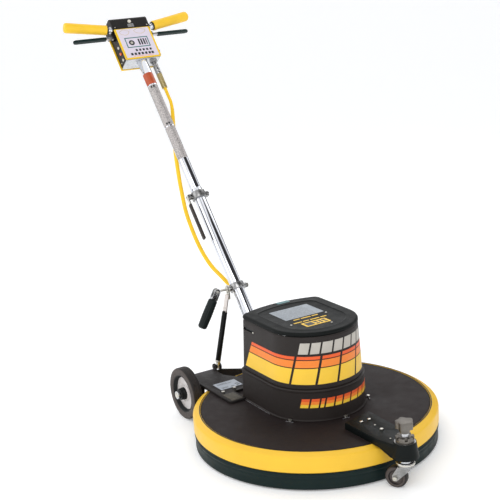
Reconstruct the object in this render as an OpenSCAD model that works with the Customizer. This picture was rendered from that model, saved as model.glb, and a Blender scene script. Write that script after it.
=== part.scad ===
// High speed floor burnisher: a round deck on a 27 inch polishing pad, with a
// cowled upright motor, two transport wheels behind, a height-adjusting caster
// in front and a telescoping handle with a twin-grip switch box.
// Origin: on the floor, under the centre of the pad. +Z up, -Y forward
// (towards the caster), +Y back (towards the user). Left and right are named
// as seen from the front, so left is -X.

/* [Deck] */
// Radius of the polishing pad
pad_r = 343; // [335:1:345]
// Thickness of the polishing pad
pad_h = 25; // [20:1:28]
// Outer radius of the deck casting
deck_r = 357; // [355:1:357]
// Height of the deck's top face above the floor
deck_z = 116; // [116:1:116]
// Outer radius of the bumper band
bumper_r = 381; // [379:1:383]
// Outer radius of the hanging dust skirt
skirt_r = 378; // [377:1:379]

/* [Motor cowl] */
// Half width of the lower cowl at the deck
cowl_low_r = 160; // [157:1:161]
// Half width of the cowl at its top
cowl_up_r = 143; // [141:1:144]
// Distance from the pad axis to the rear corners of the cowl
cowl_back = 182; // [179:1:183]
// Height of the waist ridge
waist_z = 216; // [212:1:218]
// Height of the top of the cowl
cowl_top = 390; // [388:1:392]
// Wall thickness of the cowl mouldings
cowl_t = 4; // [3:0.5:5]

/* [Transport wheels] */
// Radius of a transport wheel
wheel_r = 86; // [82:1:88]
// Width of a transport wheel's tyre
wheel_w = 35; // [30:1:36]
// Outer face of each wheel from the centre plane
wheel_x = 263; // [258:1:266]
// Distance of the axle behind the pad axis
axle_y = 393; // [393:1:396]
// Radius of the axle
axle_r = 8; // [7:0.5:9]

/* [Front caster] */
// Distance of the caster stem in front of the pad axis
caster_y = 446; // [446:1:450]
// Radius of the caster wheel
caster_r = 32; // [30:1:32]
// Trail of the caster wheel behind its stem
caster_trail = 26; // [24:1:28]

/* [Handle] */
// Height of the handle pivot
pivot_z = 165; // [163:1:168]
// Distance of the handle pivot behind the pad axis
pivot_y = 258; // [256:1:260]
// Lean of the handle from the vertical, in degrees
lean = 39; // [39:1:39]
// Outer radius of the lower tube
tube_low_r = 20.7; // [20.5:0.1:21]
// Outer radius of the upper tube
tube_up_r = 18.85; // [18.85:0.01:18.85]
// Distance from the pivot to the top of the lower tube
tube_low_len = 674; // [665:1:680]
// Distance from the pivot to the underside of the switch box
box_d = 1218; // [1200:1:1230]

/* [Switch box] */
// Half width of the yellow cover plates
plate_hw = 71.5; // [70:0.5:73]
// Length of each grip
grip_len = 158; // [140:1:160]
// Radius of each grip
grip_r = 18.5; // [17:0.5:19]

/* [Hidden] */
$fn = 72;
tube_low_in = 18.9;
clamp_d = 649;
collar_d = 288.3;
strut_x0 = -98; strut_y0 = 439; strut_z0 = 128;
strut_x1 = -36; strut_y1 = 439.4; strut_z1 = 389;
gland_x = 45;
stem_r = 11;
// Swivel of the caster about its stem, in degrees
caster_turn = 35;
// Cowl sections: half width, centre of the rounded front, its depth, rear corners
cowl_a = [cowl_low_r, 0, 156, cowl_back + 2];
cowl_b = [158, 0, 153, cowl_back];
cowl_c = [153, 0, 148, cowl_back - 2.5];
cowl_d = [cowl_up_r + 0.7, -7.5, 129.4, cowl_back - 2];
// Route of the motor lead, in millimetres
cord_pts = [
  [ 45, 1013, 1097], [ 45,  983, 1060], [ 45,  950, 1020], [ 45,  925,  989],
  [ 45,  912,  973], [ 42,  898,  948], [ 33,  880,  913], [ 22,  861,  873], [ 10,  839,  833],
  [  0,  815,  786], [ -8,  788,  716], [ -8,  776,  665], [ -8,  757,  602],
  [ -8,  727,  551], [ -6,  692,  501], [ -2,  655,  458], [  4,  612,  422],
  [ 14,  560,  392], [ 24,  512,  360], [ 32,  470,  318], [ 40,  432,  270],
  [ 50,  390,  228], [ 60,  340,  196], [ 68,  290,  178], [ 72,  250,  170],
  [ 72,  205,  170]];
cord_r = 5.75;

// A ring by inner and outer radius
module ring(ri, ro, h) { difference() { cylinder(r = ro, h = h); translate([0, 0, -1]) cylinder(r = ri, h = h + 2); } }
// A bar along X from x0 to x1
module xbar(x0, x1, r) { translate([x0, 0, 0]) rotate([0, 90, 0]) cylinder(r = r, h = x1 - x0); }
// A bar along Y from y0 to y1
module ybar(y0, y1, r) { translate([0, y0, 0]) rotate([-90, 0, 0]) cylinder(r = r, h = y1 - y0); }
// A plate in the YZ plane between x0 and x1; the child is drawn as [y, z]
module yzplate(x0, x1) { translate([x0, 0, 0]) multmatrix([[0,0,1,0],[1,0,0,0],[0,1,0,0],[0,0,0,1]]) linear_extrude(x1 - x0) children(); }
// The handle's own frame: +Z up the tube, -Y its upper face
module handle() { translate([0, pivot_y, pivot_z]) rotate([-lean, 0, 0]) children(); }
// Cowl outline: rounded front, straight sides, soft rear corners, slightly bowed back
function cowl_ring(p, o) = let (a = p[0] + o, e = p[2] + o, b = p[3] + o, c = 24 + o, w = a - c, xe = w + c * cos(70), ye = b - c + c * sin(70), bow = 0.182 * xe) concat(
  [for (i = [0 : 36]) [-a * cos(5 * i), p[1] - e * sin(5 * i)]],
  [for (i = [0 : 5]) [w + c * cos(14 * i), b - c + c * sin(14 * i)]],
  [for (i = [1 : 11]) [xe * (1 - i / 6), ye + bow * (1 - pow(1 - i / 6, 2))]],
  [for (i = [0 : 5]) [-w + c * cos(110 + 14 * i), b - c + c * sin(110 + 14 * i)]]);
module cowl_loft(z0, p, z1, q, o) {
  lo = cowl_ring(p, o); hi = cowl_ring(q, o); n = len(lo);
  polyhedron(points = concat([for (v = lo) [v[0], v[1], z0]], [for (v = hi) [v[0], v[1], z1]]),
    faces = concat([[for (i = [0 : n - 1]) i]], [[for (i = [n - 1 : -1 : 0]) n + i]],
      [for (i = [0 : n - 1]) [i, n + i, n + (i + 1) % n]], [for (i = [0 : n - 1]) [i, n + (i + 1) % n, (i + 1) % n]]), convexity = 4);
}
// Hex head or nut
module hex(af, h) { cylinder(d = af / cos(30), h = h, $fn = 6); }

// ---- Deck ----
arm_holes = [[-14, -262], [14, -262], [0, -340]];
plate_holes = [[-196, 230], [196, 230], [-150, 238], [150, 238], [-60, 285], [60, 285], [-60, 232], [60, 232]];
cowl_holes = [for (a = [-150, -90, -30]) [(cowl_a[0] + 9) * cos(a), (cowl_a[2] + 9) * sin(a)]];
motor_holes = [for (a = [45 : 90 : 315]) [84 * cos(a), 84 * sin(a)]];

module deck_shell() {
  color("#2b2a2a") difference() {
    rotate_extrude($fn = 180) polygon([[62, 110], [351, 110], [351, 58], [deck_r, 58], [deck_r, deck_z - 3], [deck_r - 3, deck_z], [62, deck_z]]);
    for (p = concat(arm_holes, plate_holes, cowl_holes, motor_holes)) translate([p[0], p[1], 100]) cylinder(r = 3.3, h = 30);
  }
}

module bumper() {
  color("#f2b233") rotate_extrude($fn = 180) polygon([[deck_r, 56], [bumper_r - 3, 56], [bumper_r, 59], [bumper_r, 103], [bumper_r - 3, 108], [deck_r + 4, 113.5], [deck_r + 4, deck_z - 0.8], [deck_r + 3, deck_z], [deck_r, deck_z]]);
}

module skirt() {
  color("#15201f") rotate_extrude($fn = 180) polygon([[deck_r + 1, 51], [deck_r + 1, 56], [skirt_r + 1.5, 56], [skirt_r + 2, 47], [skirt_r - 1, 40], [skirt_r, 6], [skirt_r - 6, 5], [skirt_r - 6.5, 51]]);
}

// ---- Front caster arm with its boss ----
module caster_arm() {
  color("#1d1f20") difference() {
    union() {
      // top plate
      translate([0, 0, 132]) linear_extrude(6) polygon([[-50, -232], [-48, -386], [-32, -caster_y], [32, -caster_y], [48, -386], [54, -207]]);
      // side flanges run into the boss
      intersection() {
        translate([0, 0, 80]) linear_extrude(60) for (s = [-1, 1]) scale([s, 1]) polygon([[43, -228], [43, -386], [26, -caster_y + 4], [34, -caster_y + 4], [49, -386], [49, -228]]);
        yzplate(-60, 60) polygon([[-228, 116], [-228, 134], [-caster_y + 2, 134], [-caster_y + 2, 95.5], [-428, 95.5], [-386, 116]]);
      }
      // cross webs on the deck
      translate([-46, -262, 116]) cube([92, 12, 18]);
      translate([-10, -348, 116]) cube([20, 16, 18]);
      // boss
      translate([0, -caster_y, 95]) cylinder(r1 = 39, r2 = 32, h = 47);
    }
    translate([0, -caster_y, 80]) cylinder(r = stem_r + 0.05, h = 70);
    for (p = arm_holes) translate([p[0], p[1], 100]) cylinder(r = 3.3, h = 50);
  }
}

// ---- Rear carriage ----
module carriage_plate() {
  color("#242628") difference() {
    union() {
      difference() {
        translate([0, 0, deck_z]) linear_extrude(8) polygon([[-217, 157], [-209, 149], [-161, 149], [-161, 221], [161, 221], [161, 149], [209, 149], [217, 157], [217, 431], [211, 437], [116, 437], [116, 367], [90, 324], [90, 300], [-90, 300], [-90, 324], [-116, 367], [-116, 437], [-211, 437], [-217, 431]]);
        for (p = plate_holes) translate([p[0], p[1], 100]) cylinder(r = 3.3, h = 50);
      }
      // side cheeks carry the axle
      for (s = [-1, 1]) yzplate(s > 0 ? 211 : -217, s > 0 ? 217 : -211) polygon([[328, 118], [328, 96], [360, 64], [425, 64], [431, 70], [431, 118]]);
      // rear wall under the plate
      translate([0, 431, 0]) rotate([90, 0, 0]) translate([0, 0, -6]) linear_extrude(6) polygon([[-214, 66], [214, 66], [214, 117], [84, 117], [6, 98], [-6, 98], [-84, 117], [-214, 117]]);
      // strut ears with their fixed pin
      for (x = [-111, -92]) yzplate(x, x + 5) union() { translate([strut_y0, strut_z0]) circle(r = 12); translate([428, 96]) square([9, 32]); }
      translate([0, strut_y0, strut_z0]) xbar(-113, -85, 5);
    }
    translate([0, axle_y, wheel_r]) xbar(-230, 230, axle_r);
  }
}

// A hex bolt through a stack: head on top at z, reaching down by len
module bolt(len) { hex(10, 5); translate([0, 0, -len]) cylinder(r = 3, h = len); }
module machine_screws() {
  color("#c9c6bd") {
    for (p = arm_holes) translate([p[0], p[1], 138]) bolt(34);
    for (i = [0 : 3]) translate([plate_holes[i][0], plate_holes[i][1], 124]) bolt(20);
    for (i = [4 : 7]) translate([plate_holes[i][0], plate_holes[i][1], 130]) bolt(26);
    for (p = cowl_holes) translate([p[0], p[1], 120]) bolt(16);
    for (p = motor_holes) translate([p[0], p[1], 124]) bolt(20);
  }
}

module spec_plate() {
  color("#c4c7cb") translate([-190, 251, 124]) cube([80, 57, 1]);
}

module tread_strips() {
  color("#5d5a4e") for (s = [-1, 1]) translate([s * 188 - 20, 154, 124]) cube([40, 59, 1.2]);
}

module axle() {
  color("#b9bcc0") translate([0, axle_y, wheel_r]) {
    xbar(-wheel_x - 16, wheel_x + 16, axle_r);
    for (s = [-1, 1]) translate([s > 0 ? wheel_x + 10 : -wheel_x - 18, 0, 0]) rotate([0, 90, 0]) cylinder(r = 13, h = 8);
    for (s = [-1, 1]) translate([s > 0 ? 217 : -225, 0, 0]) rotate([0, 90, 0]) cylinder(r = 14, h = 8);
  }
}

module handle_bracket() {
  color("#26282a") difference() {
    union() {
      translate([-68, 223, 124]) cube([136, 70, 6]);
      for (s = [-1, 1]) yzplate(s > 0 ? 32 : -38, s > 0 ? 38 : -32) union() {
        translate([pivot_y, pivot_z]) circle(r = 16);
        polygon([[pivot_y - 28, 128], [pivot_y + 28, 128], [pivot_y + 15, pivot_z + 5], [pivot_y - 15, pivot_z + 5]]);
      }
    }
    translate([0, pivot_y, pivot_z]) xbar(-60, 60, 8);
    for (i = [4 : 7]) translate([plate_holes[i][0], plate_holes[i][1], 110]) cylinder(r = 3.3, h = 40);
  }
}

module pivot_pin() {
  color("#b4b7ba") translate([0, pivot_y, pivot_z]) { xbar(-44, 44, 8); xbar(-47, -38, 12); xbar(38, 47, 12); }
}

// ---- Motor cowl ----
module cowl_lower() {
  color("#302e2d") difference() {
    union() {
      difference() { cowl_loft(deck_z, cowl_a, waist_z - 4, cowl_b, 0); cowl_loft(deck_z - 1, cowl_a, waist_z - 3, cowl_b, -cowl_t); }
      // waist ridge
      difference() { cowl_loft(waist_z - 5, cowl_b, waist_z, cowl_b, 1.5); cowl_loft(waist_z - 7, cowl_b, waist_z + 2, cowl_b, -9.5); }
      // base tabs
      for (p = cowl_holes) translate([p[0], p[1], deck_z]) cylinder(r = 11, h = 4);
      // grommet ring for the motor lead
      translate([72, 0, 170]) ybar(190, 207, 21);
    }
    for (p = cowl_holes) translate([p[0], p[1], 100]) cylinder(r = 3.3, h = 50);
    translate([72, 0, 170]) ybar(170, 230, 17);
    cowl_loft(deck_z - 1, cowl_a, deck_z + 19, cowl_a, -cowl_t - 0.2);
  }
}

module cowl_upper() {
  color("#2c2a29") difference() {
    difference() { cowl_loft(waist_z, cowl_c, cowl_top - 11, cowl_d, 0); cowl_loft(waist_z - 1, cowl_c, cowl_top - 10, cowl_d, -cowl_t); }
    // cooling slots in both sides and the back
    for (s = [-1, 1]) translate([s * 145 - 12, 106, 345.5]) cube([24, 54, 9]);
    for (i = [-3 : 3]) translate([i * 28 - 8, 155, 250]) cube([16, 60, 70]);
  }
}

module cowl_cap() {
  color("#242424") difference() {
    union() {
      cowl_loft(cowl_top - 11, cowl_d, cowl_top - 3, cowl_d, 1.2);
      cowl_loft(cowl_top - 3.5, cowl_d, cowl_top, cowl_d, -2);
    }
    cowl_loft(cowl_top - 12, cowl_d, cowl_top - 4, cowl_d, -5);
    // recessed panel
    cowl_loft(cowl_top - 1.5, [106, -10, 92, 150], cowl_top + 4, [106, -10, 92, 150], 0);
  }
}

// ---- Motor ----
module motor_frame() { color("#55585c") translate([0, 0, 142]) ring(92, 98, 160); }
module end_bells() {
  color("#6a6d70") {
    difference() {
      union() { translate([0, 0, deck_z]) cylinder(r = 98, h = 8); translate([0, 0, 124]) ring(74, 98, 18); translate([0, 0, 112]) cylinder(r = 40, h = 28); }
      translate([0, 0, 108]) cylinder(r = 22, h = 40);
      translate([0, 0, 119]) cylinder(r = 31, h = 40);
      for (p = motor_holes) translate([p[0], p[1], 100]) cylinder(r = 3.3, h = 24.5);
      for (p = motor_holes) translate([p[0], p[1], 124]) cylinder(r = 8, h = 30);
    }
    difference() {
      union() { translate([0, 0, 302]) cylinder(r = 98, h = 8); translate([0, 0, 302]) cylinder(r = 40, h = 22); }
      translate([0, 0, 290]) cylinder(r = 31, h = 29);
      translate([0, 0, 290]) cylinder(r = 20, h = 50);
      for (a = [0 : 45 : 315]) rotate([0, 0, a]) translate([68, 0, 300]) cylinder(r = 12, h = 12);
    }
  }
}
module stator_core() { color("#7b7d80") translate([0, 0, 180]) ring(52.6, 92, 100); }
module stator_windings() { color("#b5652a") { translate([0, 0, 160]) ring(60, 86, 20); translate([0, 0, 280]) ring(60, 86, 18); } }
module motor_bearings() { color("#c0c4c8") { translate([0, 0, 119]) ring(12.53, 31, 17); translate([0, 0, 302]) ring(12.53, 31, 17); } }
module run_capacitors() { color("#a9adb1") for (s = [-1, 1]) translate([s * 46, 165, deck_z]) { cylinder(r = 22, h = 92); translate([-6, 0, 92]) cylinder(r = 3, h = 8); translate([6, 0, 92]) cylinder(r = 3, h = 8); } }

// ---- Pad and drive ----
module pad() { color("#d8d2bf") rotate_extrude($fn = 180) polygon([[0, 0], [pad_r - 4, 0], [pad_r, 4], [pad_r, pad_h], [0, pad_h]]); }
module pad_driver() {
  color("#3c3e40") difference() {
    rotate_extrude($fn = 144) polygon([[0, pad_h], [335, pad_h], [335, 36], [110, 40], [55, 46], [45, 50], [45, 92], [0, 92]]);
    translate([0, 0, 50]) cylinder(r = 12.5, h = 60);
  }
}
module motor_shaft() { color("#aab0b5") translate([0, 0, 50]) cylinder(r = 12.5, h = 302); }
module motor_rotor() { color("#8c8f92") translate([0, 0, 182]) ring(12.5, 52, 96); }
module cooling_fan() {
  color("#3a3a3a") translate([0, 0, 328]) difference() {
    union() { cylinder(r = 24, h = 22); cylinder(r = 82, h = 3); for (a = [0 : 40 : 320]) rotate([0, 0, a]) translate([18, -1.5, 0]) cube([62, 3, 20]); }
    translate([0, 0, -1]) cylinder(r = 12.5, h = 30);
  }
}

// ---- Transport wheels ----
module tyre(x0) {
  translate([x0, axle_y, wheel_r]) rotate([0, 90, 0]) rotate_extrude($fn = 120) polygon([[63, 1.5], [66, 0], [wheel_r - 6, 0], [wheel_r - 1.5, 3.5], [wheel_r, 8], [wheel_r, wheel_w - 8], [wheel_r - 1.5, wheel_w - 3.5], [wheel_r - 6, wheel_w], [66, wheel_w], [63, wheel_w - 1.5]]);
}
// Hub with its long boss on the outer side; s is -1 on the left, 1 on the right
module hub(s) {
  mirror([s > 0 ? 1 : 0, 0, 0]) translate([-wheel_x, axle_y, wheel_r]) rotate([0, 90, 0]) rotate_extrude($fn = 96) polygon([[axle_r + 0.05, -9], [19, -9], [21, -6], [21, 6], [27, 14], [56, 11], [58, 4], [63, 3], [63, wheel_w - 3], [58, wheel_w - 4], [56, wheel_w - 11], [27, wheel_w - 14], [24, wheel_w - 4], [20, wheel_w + 2], [axle_r + 0.05, wheel_w + 2]]);
}
module wheel_tyre_left() { color("#34302e") tyre(-wheel_x); }
module wheel_hub_left() { color("#dcdad6") hub(-1); }
module wheel_tyre_right() { color("#34302e") tyre(wheel_x - wheel_w); }
module wheel_hub_right() { color("#dcdad6") hub(1); }

// ---- Caster ----
module caster_stem() {
  color("#9b9d9f") translate([0, -caster_y, 0]) difference() {
    union() { translate([0, 0, 79]) cylinder(r = stem_r, h = 89); translate([0, 0, 79.5]) cylinder(r = 17, h = 9.5); translate([0, 0, 72.8]) cylinder(r = 25, h = 7.2); translate([0, 0, 62]) cylinder(r = 7, h = 18); translate([0, 0, 62]) cylinder(r = 9.5, h = 3.5); }
    translate([0, 0, 120]) cylinder(r = 5.05, h = 60);
  }
}
module adjuster_knob() {
  color("#8b8c8e") translate([0, -caster_y, 0]) union() {
    translate([0, 0, 124]) cylinder(r = 5, h = 50);
    translate([0, 0, 168.3]) cylinder(r = 15, h = 14);
    translate([0, 0, 182]) linear_extrude(21) polygon([for (i = [0 : 59]) let (r = 23.6 + 2.9 * cos(30 * i)) [r * cos(6 * i), r * sin(6 * i)]]);
  }
}
module lock_nut() {
  color("#a3a2a0") translate([0, -caster_y, 142.3]) difference() {
    cylinder(r = 26.5, h = 15.7);
    for (a = [0 : 60 : 300]) rotate([0, 0, a]) translate([17, -4, 8]) cube([12, 8, 12]);
    translate([0, 0, -1]) cylinder(r = stem_r + 0.05, h = 30);
  }
}
// The fork and wheel stand swivelled about the stem
module swivel() { translate([0, -caster_y, 0]) rotate([0, 0, caster_turn]) translate([0, caster_y, 0]) children(); }
module caster_fork() {
  cy = -caster_y + caster_trail;
  color("#9a9c9e") swivel() difference() {
    union() {
      translate([0, -caster_y, 66.5]) cylinder(r = 25, h = 6);
      for (s = [-1, 1]) yzplate(s > 0 ? 14.8 : -18, s > 0 ? 18 : -14.8) polygon([[-caster_y - 18, 67.5], [-caster_y + 18, 67.5], [cy + 9, caster_r + 8], [cy + 9, caster_r - 4], [cy + 4, caster_r - 9], [cy - 4, caster_r - 9], [cy - 10, caster_r - 3], [-caster_y - 18, 62]]);
    }
    translate([0, -caster_y, 50]) cylinder(r = 7.05, h = 30);
    translate([0, cy, caster_r]) xbar(-30, 30, 4);
  }
}
module caster_axle() {
  cy = -caster_y + caster_trail;
  color("#c3c5c7") swivel() translate([0, cy, caster_r]) { xbar(-22, 22, 4); translate([-23, 0, 0]) rotate([0, 90, 0]) hex(12, 5); translate([18, 0, 0]) rotate([0, 90, 0]) hex(12, 5); }
}
module caster_wheel() {
  cy = -caster_y + caster_trail;
  color("#2e2c2b") swivel() translate([-13, cy, caster_r]) rotate([0, 90, 0]) rotate_extrude($fn = 96) polygon([[4.05, -1.4], [8, -1.4], [10, 3], [20, 4], [22, 0], [caster_r - 4, 0], [caster_r - 1, 1.5], [caster_r, 5], [caster_r, 21], [caster_r - 1, 24.5], [caster_r - 4, 26], [22, 26], [20, 22], [10, 23], [8, 27.4], [4.05, 27.4]]);
}

// ---- Handle, lower section ----
module lower_tube() {
  color("#c8ccd4") handle() difference() {
    translate([0, 0, 24]) ring(tube_low_in, tube_low_r, tube_low_len - 24);
    // clamping slot at the top, on the user's face
    translate([-1.5, 10, tube_low_len - 60]) cube([3, 20, 61]);
  }
}
module handle_yoke() {
  color("#9fa3a8") handle() difference() {
    union() { xbar(-31.6, 31.6, 15); translate([0, 0, 4]) cylinder(r = tube_low_r, h = 20); translate([0, 0, 22]) cylinder(r = tube_low_in, h = 40); }
    xbar(-40, 40, 8.05);
  }
}
module tube_clamp() {
  color("#6d6f73") handle() translate([0, 0, clamp_d]) {
    difference() {
      union() {
        translate([0, 0, -12]) cylinder(r = 26, h = 24);
        for (s = [-1, 1]) translate([-44, s > 0 ? 5 : -8.5, -7]) cube([24, 3.5, 14]);
        translate([20, -7, -8]) cube([17, 14, 16]);
      }
      translate([0, 0, -20]) cylinder(r = tube_low_r, h = 40);
      translate([-38, 0, 0]) ybar(-20, 20, 3);
      translate([31, 0, 0]) ybar(-20, 20, 3.5);
    }
    translate([-38, 0, 0]) ybar(-10.5, 10.5, 3);
    translate([31, 0, 0]) { ybar(-9, 10, 3.5); translate([0, 7, 0]) rotate([-90, 0, 0]) hex(11, 6); translate([0, -12, 0]) rotate([-90, 0, 0]) hex(11, 5); }
  }
}
module tube_clamp_lever() {
  color("#3a3b3d") handle() translate([-38, 0, clamp_d]) difference() {
    union() {
      ybar(-4.6, 4.6, 6.5);
      translate([-6.5, -4.6, -16]) cube([4, 9.2, 16]);
      translate([-8.5, -6.5, -165]) cube([5.5, 13, 151]);
    }
    ybar(-20, 20, 3.05);
  }
}
// ---- Sliding strut collar and its cam lever ----
module strut_collar() {
  color("#8e9196") handle() translate([0, 0, collar_d]) difference() {
    union() { translate([0, 0, -11]) cylinder(r = 26.5, h = 22); xbar(-33, -20, 10); xbar(20, 34, 9); }
    translate([0, 0, -20]) cylinder(r = tube_low_r + 0.06, h = 40);
    xbar(-40, -27, 4); xbar(27, 40, 4);
  }
}
module collar_bolt() {
  color("#b7babd") handle() translate([0, 0, collar_d]) union() {
    xbar(-76, -27, 4); xbar(27, 42, 4);
    xbar(-42.4, -39.6, 10);
    translate([34, 0, 0]) rotate([0, 90, 0]) hex(14, 7);
    translate([-80, 0, 0]) rotate([lean, 0, 0]) { ybar(-5.4, 5.4, 7); ybar(-14, 14, 3.5); }
  }
}
// Direction of the cam lever: down and out to the side
cam_a = 30;
module at_cam() { handle() translate([-80, 0, collar_d]) rotate([lean, 0, 0]) rotate([0, cam_a, 0]) children(); }
module cam_lever() {
  color("#a8abae") at_cam() difference() {
    union() {
      for (s = [-1, 1]) translate([0, s > 0 ? 6 : -9, 0]) { ybar(0, 3, 11); translate([-11, 0, -26]) cube([22, 3, 26]); }
      translate([-11, -9, -28]) cube([22, 18, 6]);
      translate([0, 0, -52]) cylinder(r = 5, h = 26);
    }
    ybar(-20, 20, 3.55);
  }
}
module cam_grip() {
  color("#23272a") at_cam() difference() {
    translate([0, 0, -132]) rotate_extrude() polygon([[0, 0], [10, 0], [14.5, 4], [15.5, 12], [14.5, 60], [15.5, 96], [13, 103.5], [0, 103.5]]);
    translate([0, 0, -52]) cylinder(r = 5, h = 30);
  }
}
// ---- Strut from the carriage to the collar ----
function sl(t) = [strut_x0 + (strut_x1 - strut_x0) * t, strut_y0 + (strut_y1 - strut_y0) * t, strut_z0 + (strut_z1 - strut_z0) * t];
strut_tilt = atan2(strut_x1 - strut_x0, strut_z1 - strut_z0);
strut_len = norm(sl(1) - sl(0));
module strut_rod() {
  color("#2e3134") difference() {
    union() {
      translate([0, strut_y0, strut_z0]) xbar(strut_x0 - 3, strut_x0 + 3, 8.5);
      translate(sl(0)) rotate([0, strut_tilt, 0]) { translate([-3, -7, 0]) cube([6, 14, 20]); translate([0, 0, 16]) cylinder(r = 9, h = strut_len * 0.72 - 16); translate([-2, -11, strut_len * 0.71]) cube([4, 22, strut_len * 0.23]); }
      translate([0, strut_y1, strut_z1]) xbar(-38.2, -33.8, 14);
      yzplate(-38.2, -33.8) translate([strut_y1 - 10, strut_z1 - 34]) square([20, 34]);
    }
    translate([0, strut_y0, strut_z0]) xbar(strut_x0 - 20, strut_x0 + 20, 5.05);
    translate([0, strut_y1, strut_z1]) xbar(-60, -20, 9);
  }
}

// ---- Handle, upper section ----
module upper_tube() { color("#d3d7de") handle() translate([0, 0, 420]) ring(16.6, tube_up_r, 825); }
module box_body() {
  color("#1e2122") handle() {
    difference() {
      translate([-66, -22, box_d + 4]) cube([132, 61, 128]);
      translate([-63, -23, box_d + 7]) cube([126, 63, 122]);
      translate([0, 0, box_d - 5]) cylinder(r = tube_up_r, h = 40);
      translate([gland_x, 0, box_d - 5]) cylinder(r = 6.2, h = 40);
      // supply entry on the right side
      translate([0, 8, box_d + 40]) xbar(50, 80, 6.2);
      translate([-70, 4, box_d + 46]) xbar(-1, 20, 5.6);
    }
    // lever brackets with their pins
    for (s = [-1, 1]) {
      for (y = [-13, 6]) translate([s > 0 ? 66 : -82, y, box_d + 105.5]) cube([16, 3, 14]);
      translate([s * 76, 0, box_d + 112.5]) ybar(-14, 10, 3);
    }
  }
}
module box_base() {
  color("#b9bcc4") handle() difference() {
    translate([-68, -22, box_d]) cube([136, 61, 4]);
    translate([0, 0, box_d - 5]) cylinder(r = tube_up_r, h = 40);
    translate([gland_x, 0, box_d - 5]) cylinder(r = 6.2, h = 40);
  }
}
module box_plates() {
  color("#f3b52e") handle() {
    translate([-plate_hw, -25, box_d + 2]) cube([2 * plate_hw, 3, 132.6]);
    translate([-plate_hw, 39, box_d - 2]) cube([2 * plate_hw, 3, 134]);
  }
}
module cover_shape(o) {
  translate([o - 26, box_d + 134.8 + o]) square([41 - o, 37.2 - o]);
  translate([o - 22, box_d + 132 - o]) square([67 - 2 * o, 22 + o]);
  translate([-14, box_d + 150]) square([29, 34 - o]);
  intersection() {
    union() { translate([-14, box_d + 172]) circle(r = 12 - o); translate([15, box_d + 154]) circle(r = 30 - o); }
    translate([-40, box_d + 140]) square([100, 60]);
  }
}
module top_cover() {
  color("#1f2224") handle() difference() {
    yzplate(-74, 74) cover_shape(0);
    yzplate(-71, 71) cover_shape(3);
    translate([0, 0, box_d + 162]) ybar(-40, 0, 6.4);
  }
}
// Each grip sweeps out and up
module at_grip(s) { handle() translate([s * 76, -12, box_d + 140]) rotate([0, s * atan2(157, 31), 0]) rotate([-1, 0, 0]) children(); }
module handlebar() {
  color("#b0b3b8") for (s = [-1, 1]) {
    handle() translate([0, -12, box_d + 144]) { xbar(s > 0 ? 74 : -78, s > 0 ? 78 : -74, 10.5); translate([0, 0, -4]) xbar(s > 0 ? 76.5 : -82, s > 0 ? 82 : -76.5, 12); }
    at_grip(s) translate([0, 0, 4.5]) cylinder(r = 9.5, h = 125.5);
    at_grip(s) translate([0, 0, 11]) cylinder(r = 13, h = 6);
  }
}
module grips() {
  color("#f0b533") for (s = [-1, 1]) at_grip(s) difference() {
    translate([0, 0, 18]) rotate_extrude() polygon([[0, 0], [16.5, 0], [grip_r, 2], [grip_r, grip_len - 5], [grip_r - 4, grip_len], [0, grip_len]]);
    translate([0, 0, 17]) cylinder(r = 9.5, h = 113);
  }
}
module cable_glands() {
  color("#6e6f70") handle() {
    translate([gland_x, 0, box_d - 28]) difference() {
      union() { cylinder(r = 10, h = 28); translate([0, 0, 19]) cylinder(r = 13, h = 9); }
      translate([0, 0, -1]) cylinder(r = 6.2, h = 40);
    }
    translate([0, 8, box_d + 40]) difference() {
      union() { xbar(66, 88, 10); xbar(66, 75, 13); }
      xbar(60, 95, 6.2);
    }
  }
}
module mesh_grip() {
  color("#a8975c") handle() translate([gland_x, 0, box_d - 123]) difference() { cylinder(r = 11, h = 95); translate([0, 0, -1]) cylinder(r = 6.2, h = 97); }
}

// ---- Motor lead: a round cable swept along its route ----
function cr(a, b, c, d, t) = 0.5 * ((2 * b) + (c - a) * t + (2 * a - 5 * b + 4 * c - d) * t * t + (3 * b - a - 3 * c + d) * t * t * t);
cord_n = len(cord_pts);
cord_path = [for (i = [0 : cord_n - 2]) for (k = [0 : 1]) let (a = cord_pts[max(i - 1, 0)], b = cord_pts[i], c = cord_pts[i + 1], d = cord_pts[min(i + 2, cord_n - 1)]) cr(a, b, c, d, k / 2)];
cord_all = concat(cord_path, [cord_pts[cord_n - 1]]);
cord_sides = 10;
module motor_lead() {
  m = len(cord_all);
  pts = [for (i = [0 : m - 1]) let (t0 = cord_all[min(i + 1, m - 1)] - cord_all[max(i - 1, 0)], t = t0 / norm(t0), u0 = cross([1, 0, 0], t), u = u0 / norm(u0), v = cross(t, u)) for (j = [0 : cord_sides - 1]) cord_all[i] + cord_r * (u * cos(360 * j / cord_sides) + v * sin(360 * j / cord_sides))];
  faces = concat([[for (j = [cord_sides - 1 : -1 : 0]) j]], [[for (j = [0 : cord_sides - 1]) (m - 1) * cord_sides + j]], [for (i = [0 : m - 2]) for (j = [0 : cord_sides - 1]) [i * cord_sides + j, i * cord_sides + (j + 1) % cord_sides, (i + 1) * cord_sides + (j + 1) % cord_sides, (i + 1) * cord_sides + j]]);
  color("#f0ae2c") polyhedron(points = pts, faces = faces, convexity = 6);
}

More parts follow.
